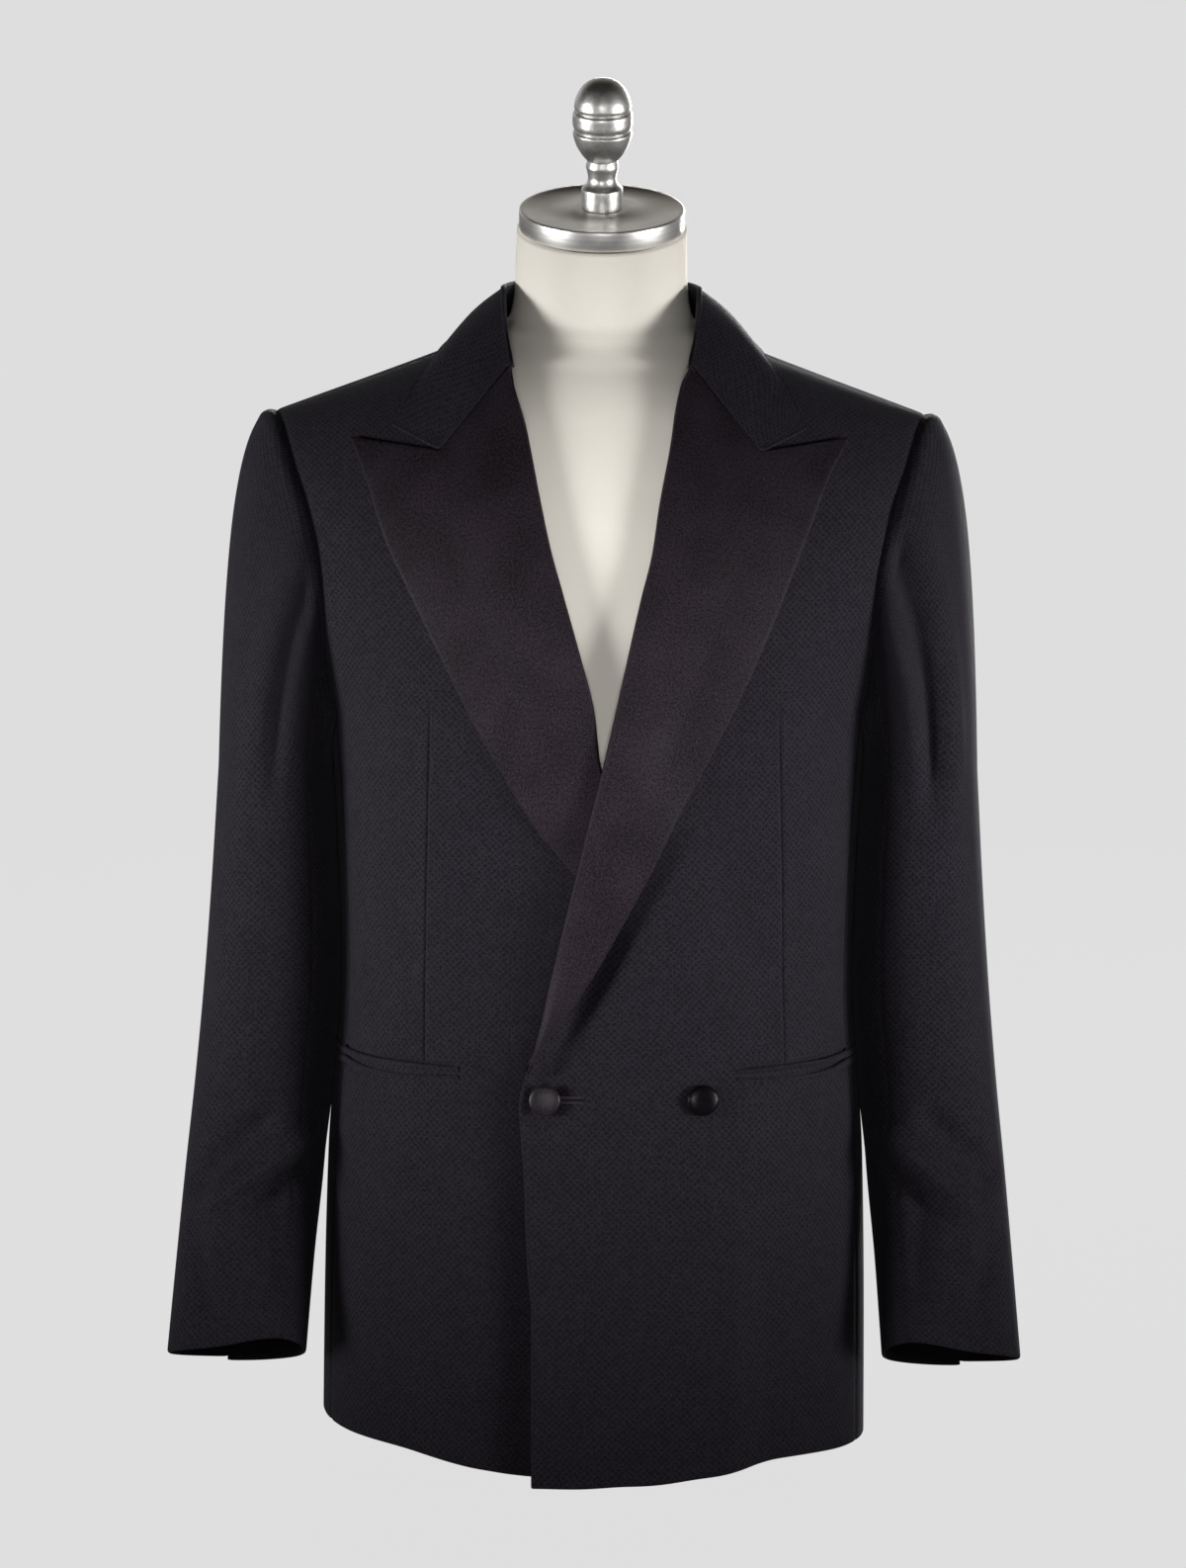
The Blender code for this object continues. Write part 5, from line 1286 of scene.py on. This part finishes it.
class JACKET_OT_form(bpy.types.Operator):
    """Build the dress form with its neck cap, finial and foot"""

    bl_idname = "jacket.form"
    bl_label = "Dress form"

    def execute(self, context):
        spans = ((0.046, 0.064, 8), (0.064, 0.70, 90), (0.70, CAP_SEAT_Z, 60))  # bottom, top and rings
        heights = np.unique(np.concatenate([np.linspace(*span) for span in spans]))
        angle = np.linspace(0, 2 * math.pi, 144, endpoint=False)[None, :]
        z = heights[:, None]
        ahead = np.cos(angle) > 0
        value = {k: column(FORM, "z", z, k) for k in FORM}
        x, deep = squircle(angle, value["half_width"], np.where(ahead, value["front"], value["back"]), value["power"])
        y = value["y"] - deep
        front_limit, back_limit = face_y(x, z + 0.003, True) + FRONT_CLEAR, face_y(x, z + 0.003, False) - BACK_CLEAR
        low = z < NECK_FOOT
        covered = low & ((np.abs(x) > NECK_HALF) | ~ahead)
        kept = np.clip(y, np.minimum(front_limit, value["y"] - 0.001), np.maximum(back_limit, value["y"] + 0.001))
        share = smooth((np.abs(x) - 0.75 * NECK_HALF) / (0.25 * NECK_HALF)) * ahead + ~ahead
        y = np.where(covered | (ahead & low), y + (kept - y) * share, y)
        level = np.broadcast_to(z, y.shape) + value["slope"] * (y - NECK_Y)
        rings = np.stack([x, y, level], -1)
        pole = np.array((0.001, 0.001, 1.0))
        rings = np.concatenate([rings[:1] * pole, rings, rings[-1:] * pole + (0, NECK_Y * 0.999, 0)])
        mesh = mesh_from("covered_form", rings.reshape(-1, 3), grid_quads(*rings.shape[:2], closed=True))
        add_piece("covered_form", mesh, canvas_material(), "canvas", "form_torso")
        axis = np.array((0.0, -math.sin(NECK_TILT), math.cos(NECK_TILT)))
        seat = np.array((0.0, NECK_Y, CAP_SEAT_Z)) + axis * SEAM
        thick, wide, bevel = CAP_THICKNESS, CAP_RADIUS, CAP_BEVEL
        quarter = np.linspace(0, math.pi / 2, 6)
        corner = [(wide - bevel * (1 - math.cos(t)), thick - bevel * (1 - math.sin(t))) for t in quarter]
        profile = [
            (wide - 0.0010, 0.0), (wide - 0.0003, 0.0003), (wide, 0.0012), *corner, (wide - 0.0040, thick - 0.0001),
            (wide - 0.0046, thick - 0.0005), (0.0220, thick - 0.0005), (0.0214, thick - 0.0002), (0.0150, thick),
        ]
        cap = turned_mesh("turned_cap", profile, seat, axis, 160)
        cap.set_sharp_from_angle(angle=math.radians(35))
        add_piece("turned_cap", cap, metal_material("Turned aluminium", True, 0.36), "brushed_aluminium", "neck_cap")
        cast = metal_material("Cast aluminium", False, 0.40)
        finial = turned_mesh("cast_finial", rounded(FINIAL, 5), seat + axis * (CAP_THICKNESS + SEAM), axis, 96)
        add_piece("cast_finial", finial, cast, "cast_aluminium", "finial")
        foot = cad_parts["form_foot"]
        foot.data.materials.clear()
        foot.data.materials.append(cast)
        return {"FINISHED"}


class JACKET_OT_body(bpy.types.Operator):
    """Build the foreparts, side bodies and backs"""

    bl_idname = "jacket.body"
    bl_label = "Body panels"

    def execute(self, context):
        for label, side, roll, hem, rows in SIDES:
            forepart(label, side, roll, hem, rows)
            side_panel(label, side, hem)
            back_panel(label, side, hem)
        return {"FINISHED"}


class JACKET_OT_sleeves(bpy.types.Operator):
    """Build the two-piece sleeves"""

    bl_idname = "jacket.sleeves"
    bl_label = "Sleeves"

    def execute(self, context):
        for label, side, *_ in SIDES:
            for part, first, last, columns_across in (
                ("upper", lambda d: hind_seam(d) - 1, fore_seam, 64), ("under", fore_seam, hind_seam, 36)
            ):
                node = ("top" if part == "upper" else part) + "sleeve_" + label
                sleeve_piece(part + "_sleeve_" + label, node, label, side, first, last, columns_across)
        return {"FINISHED"}


class JACKET_OT_collar(bpy.types.Operator):
    """Build the collar with its stand, fold and fall"""

    bl_idname = "jacket.collar"
    bl_label = "Collar"

    def execute(self, context):
        sizes = context.scene.jacket_sizes
        half = stations(0.27, 70)
        w = np.concatenate([-half[::-1][:-1], half])
        fall = stations(0.07, 20)
        grid = collar_grid(w, 8, 12, fall, sizes.lapel_lift - 0.0002)
        out = -grid_normals(grid)
        across, up = travelled(grid, 1), travelled(grid, 0)
        ends = np.minimum(across, across[:, -1:] - across)
        rounding = sizes.cloth * 0.3 * (hump(up[-1:] - up, 0.0008) + hump(ends, 0.0009))
        outer = grid - out * rounding[..., None]
        inner = grid + out * (sizes.cloth + 0.0002)
        uv = np.stack([across - across[:, across.shape[1] // 2][:, None], up], -1)
        material = suiting_material("Suiting collar", math.radians(20))
        piece = wall_piece("top_collar", "collar", 1.0, outer, inner, uv, material)
        declare_cloth(grid)
        return {"FINISHED"}


class JACKET_OT_lapels(bpy.types.Operator):
    """Build the satin lapels"""

    bl_idname = "jacket.lapels"
    bl_label = "Lapels"

    def execute(self, context):
        for label, side, roll, *_ in SIDES:
            lapel_piece(label, side, roll, LAPEL_EDGE_OVER if side > 0 else LAPEL_EDGE_UNDER)
        return {"FINISHED"}


class JACKET_OT_pockets(bpy.types.Operator):
    """Build the jets of the hip pockets"""

    bl_idname = "jacket.pockets"
    bl_label = "Pocket jets"

    def execute(self, context):
        for label, side, _, hem, _ in SIDES:
            jet_piece("pocket_jet_lower_" + label, "jet_lower_" + label, side, hem, 0.0, JET_SHARE)
            jet_piece("pocket_jet_upper_" + label, "jet_upper_" + label, side, hem, 1 - JET_SHARE, 1.0)
        return {"FINISHED"}


class JACKET_OT_buttons(bpy.types.Operator):
    """Build the covered buttons and the buttonhole"""

    bl_idname = "jacket.buttons"
    bl_label = "Buttons"

    def execute(self, context):
        for label, (x, z) in BUTTONS.items():
            x, z = np.array(x), np.array(z)
            lift = overlap_lift(x, z) + SEAM
            seat = on_front(x, z, lift)
            out = on_front(x, z, lift + 0.01) - seat
            # one satin for both buttons, the show button's copy painted darker as painted shade
            silk = satin_material("Button satin " + label, *BUTTON_SILK_AND_SHADE[label])
            add_button("covered_button_" + label, "button_" + label, seat, out, BUTTON_RADIUS, 64, silk)
        x0, z0 = BUTTONS["fastened"]
        s, t = np.linspace(0, 1, 60)[None, :], np.linspace(-1, 1, 15)[:, None]
        half = HOLE_HALF * np.sqrt(np.clip(1 - np.clip((s - 0.90) / 0.10, 0, 1) ** 2, 0.02, 1))
        x, z = x0 + HOLE_START + HOLE_LENGTH * s + 0 * t, z0 + 0.0004 + half * t
        bead = 0.0001 + 0.0011 * hump(np.abs(t) - 0.62, 0.28) * smooth((1 - s) * 12 + 0.35)
        lift = overlap_lift(x, z) - 0.0002
        top, under = on_front(x, z, lift + bead), on_front(x, z, lift - 0.0004)
        uv = np.stack(np.broadcast_arrays(HOLE_LENGTH * s, half * t), -1)
        add_piece("worked_buttonhole", wall_mesh("worked_buttonhole", top, under, uv), buttonhole_material(), "satin")
        for label, side, *_ in SIDES:
            for k in range(4):
                share = np.array(HIND_SEAM[1] + CUFF_BUTTON_SHARE)
                down = np.array(CUFF_BUTTON_DOWN - CUFF_BUTTON_STEP * k)
                out = normals_of(sleeve, share, down, sleeve(share, down) - sleeve(share + 0.5, down))
                centre = mirrored(sleeve(share, down) + out * SEAM, side)
                name = "_%s_%d" % (label, k + 1)
                add_button("covered_cuff_button" + name, "cuff_button" + name, centre, mirrored(out, side),
                           CUFF_BUTTON_RADIUS, 32, satin_material())
        return {"FINISHED"}


class JACKET_OT_stage(bpy.types.Operator):
    """Set up the floor, backdrop, lamps and camera"""

    bl_idname = "jacket.stage"
    bl_label = "Stage"

    def execute(self, context):
        scene, light = context.scene, context.scene.jacket_light
        scene.view_settings.view_transform = "Standard"
        angle = np.linspace(0, 2 * math.pi, 96, endpoint=False)
        rings = np.array([0.01, 0.5, 1.0, 2.0, 5.0, 12.0, 40.0])[:, None]
        points = np.stack([rings * np.cos(angle), rings * np.sin(angle) - DEPTH_SHIFT, 0 * rings * angle - 0.0002], -1)
        mesh = mesh_from("pale_floor", points.reshape(-1, 3), grid_quads(7, 96, closed=True))
        floor = bpy.data.objects.new("pale_floor", mesh)
        scene.collection.objects.link(floor)
        matt = {"Roughness": 0.9, "Specular_IOR_Level": 0.0, "Emission_Strength": 1.0}
        material, tree, shader = new_material("Pale floor", **matt)
        shader.inputs["Base Color"].default_value = (0.03, 0.03, 0.03, 1.0)
        seen = new_node(tree, "ShaderNodeLightPath").outputs["Is Camera Ray"]
        tone, dim = [(*[c * share for c in light.backdrop], 1.0) for share in (0.985, light.floor)]
        tree.links.new(blend_colours(tree, seen, dim, tone), shader.inputs["Emission Color"])
        floor.data.materials.append(material)
        world = bpy.data.worlds.new("Studio")
        scene.world = world
        world.use_nodes = True
        tree = world.node_tree
        back = tree.nodes["Background"]
        _, y, z = parts_of(tree, new_node(tree, "ShaderNodeTexCoord").outputs["Generated"])
        behind = ranged(tree, y, 0.30, 0.85, light.dark, 0.80, "SMOOTHSTEP")
        low = ranged(tree, z, 0.15, 0.90, 1.0, light.dark, "SMOOTHSTEP")
        seen = new_node(tree, "ShaderNodeLightPath").outputs["Is Camera Ray"]
        share = calc(tree, "MAXIMUM", calc(tree, "MULTIPLY", behind, low), seen)
        tree.links.new(share, back.inputs["Strength"])
        warm = [c * share for c, share in zip(light.backdrop, (1.0, 0.90, 0.76))]
        sky = blend_colours(tree, ranged(tree, z, 0.3, 0.7), (*light.backdrop, 1.0), (*warm, 1.0))
        tree.links.new(sky, back.inputs["Color"])
        for name, turned, away, z, wide, high, power, spread in LAMPS:
            lamp = bpy.data.lights.new(name, "AREA")
            lamp.shape, lamp.size, lamp.size_y, lamp.energy = "RECTANGLE", wide, high, power * light.key
            lamp.spread = math.radians(spread)
            stand = bpy.data.objects.new(name, lamp)
            scene.collection.objects.link(stand)
            stand.location = (away * math.sin(math.radians(turned)), -away * math.cos(math.radians(turned)), z)
            drop = math.atan2(z - LAMP_AIM, away)
            stand.rotation_euler = (math.radians(90) - drop, 0.0, math.radians(turned))
        camera = bpy.data.objects.new("camera", bpy.data.cameras.new("camera"))
        scene.collection.objects.link(camera)
        scene.camera = camera
        camera.data.sensor_fit, camera.data.sensor_height, camera.data.lens = "VERTICAL", 36.0, CAMERA_LENS
        camera.data.clip_end = 100.0
        back, rise = CAMERA_AWAY * math.cos(CAMERA_RISE), CAMERA_AWAY * math.sin(CAMERA_RISE)
        camera.location = (CAMERA_X, -back, CAMERA_AIM + rise)
        camera.rotation_mode = "XYZ"
        aim = Euler((math.radians(90) - CAMERA_RISE, 0.0, 0.0)).to_matrix()
        camera.rotation_euler = (aim @ Matrix.Rotation(CAMERA_ROLL, 3, "Z")).to_euler()
        return {"FINISHED"}


class JACKET_PT_pieces(bpy.types.Panel):
    """Sidebar panel that lists the sizes, colours and pieces"""

    bl_idname = "JACKET_PT_pieces"
    bl_label = "Dinner jacket"
    bl_space_type = "VIEW_3D"
    bl_region_type = "UI"
    bl_category = "Jacket"

    def draw(self, context):
        layout = self.layout
        for group in (context.scene.jacket_sizes, context.scene.jacket_colours, context.scene.jacket_light):
            box = layout.box()
            for name in group.bl_rna.properties.keys():
                if name not in {"rna_type", "name"}:
                    box.prop(group, name)
        for operator in OPERATORS:
            layout.operator(operator.bl_idname)


OPERATORS = (JACKET_OT_form, JACKET_OT_pockets, JACKET_OT_body, JACKET_OT_sleeves, JACKET_OT_collar, JACKET_OT_lapels,
             JACKET_OT_buttons, JACKET_OT_stage)
CLASSES = (JacketSizes, JacketColours, StageLight, *OPERATORS, JACKET_PT_pieces)


def register():
    for item in CLASSES:
        bpy.utils.register_class(item)
    bpy.types.Scene.jacket_sizes = bpy.props.PointerProperty(type=JacketSizes)
    bpy.types.Scene.jacket_colours = bpy.props.PointerProperty(type=JacketColours)
    bpy.types.Scene.jacket_light = bpy.props.PointerProperty(type=StageLight)


def unregister():
    del bpy.types.Scene.jacket_light
    del bpy.types.Scene.jacket_colours
    del bpy.types.Scene.jacket_sizes
    for item in reversed(CLASSES):
        bpy.utils.unregister_class(item)


def main():
    register()
    bpy.ops.jacket.form()
    bpy.ops.jacket.pockets()
    bpy.ops.jacket.body()
    bpy.ops.jacket.sleeves()
    bpy.ops.jacket.collar()
    bpy.ops.jacket.lapels()
    bpy.ops.jacket.buttons()
    bpy.ops.jacket.stage()


if __name__ == "__main__":
    main()
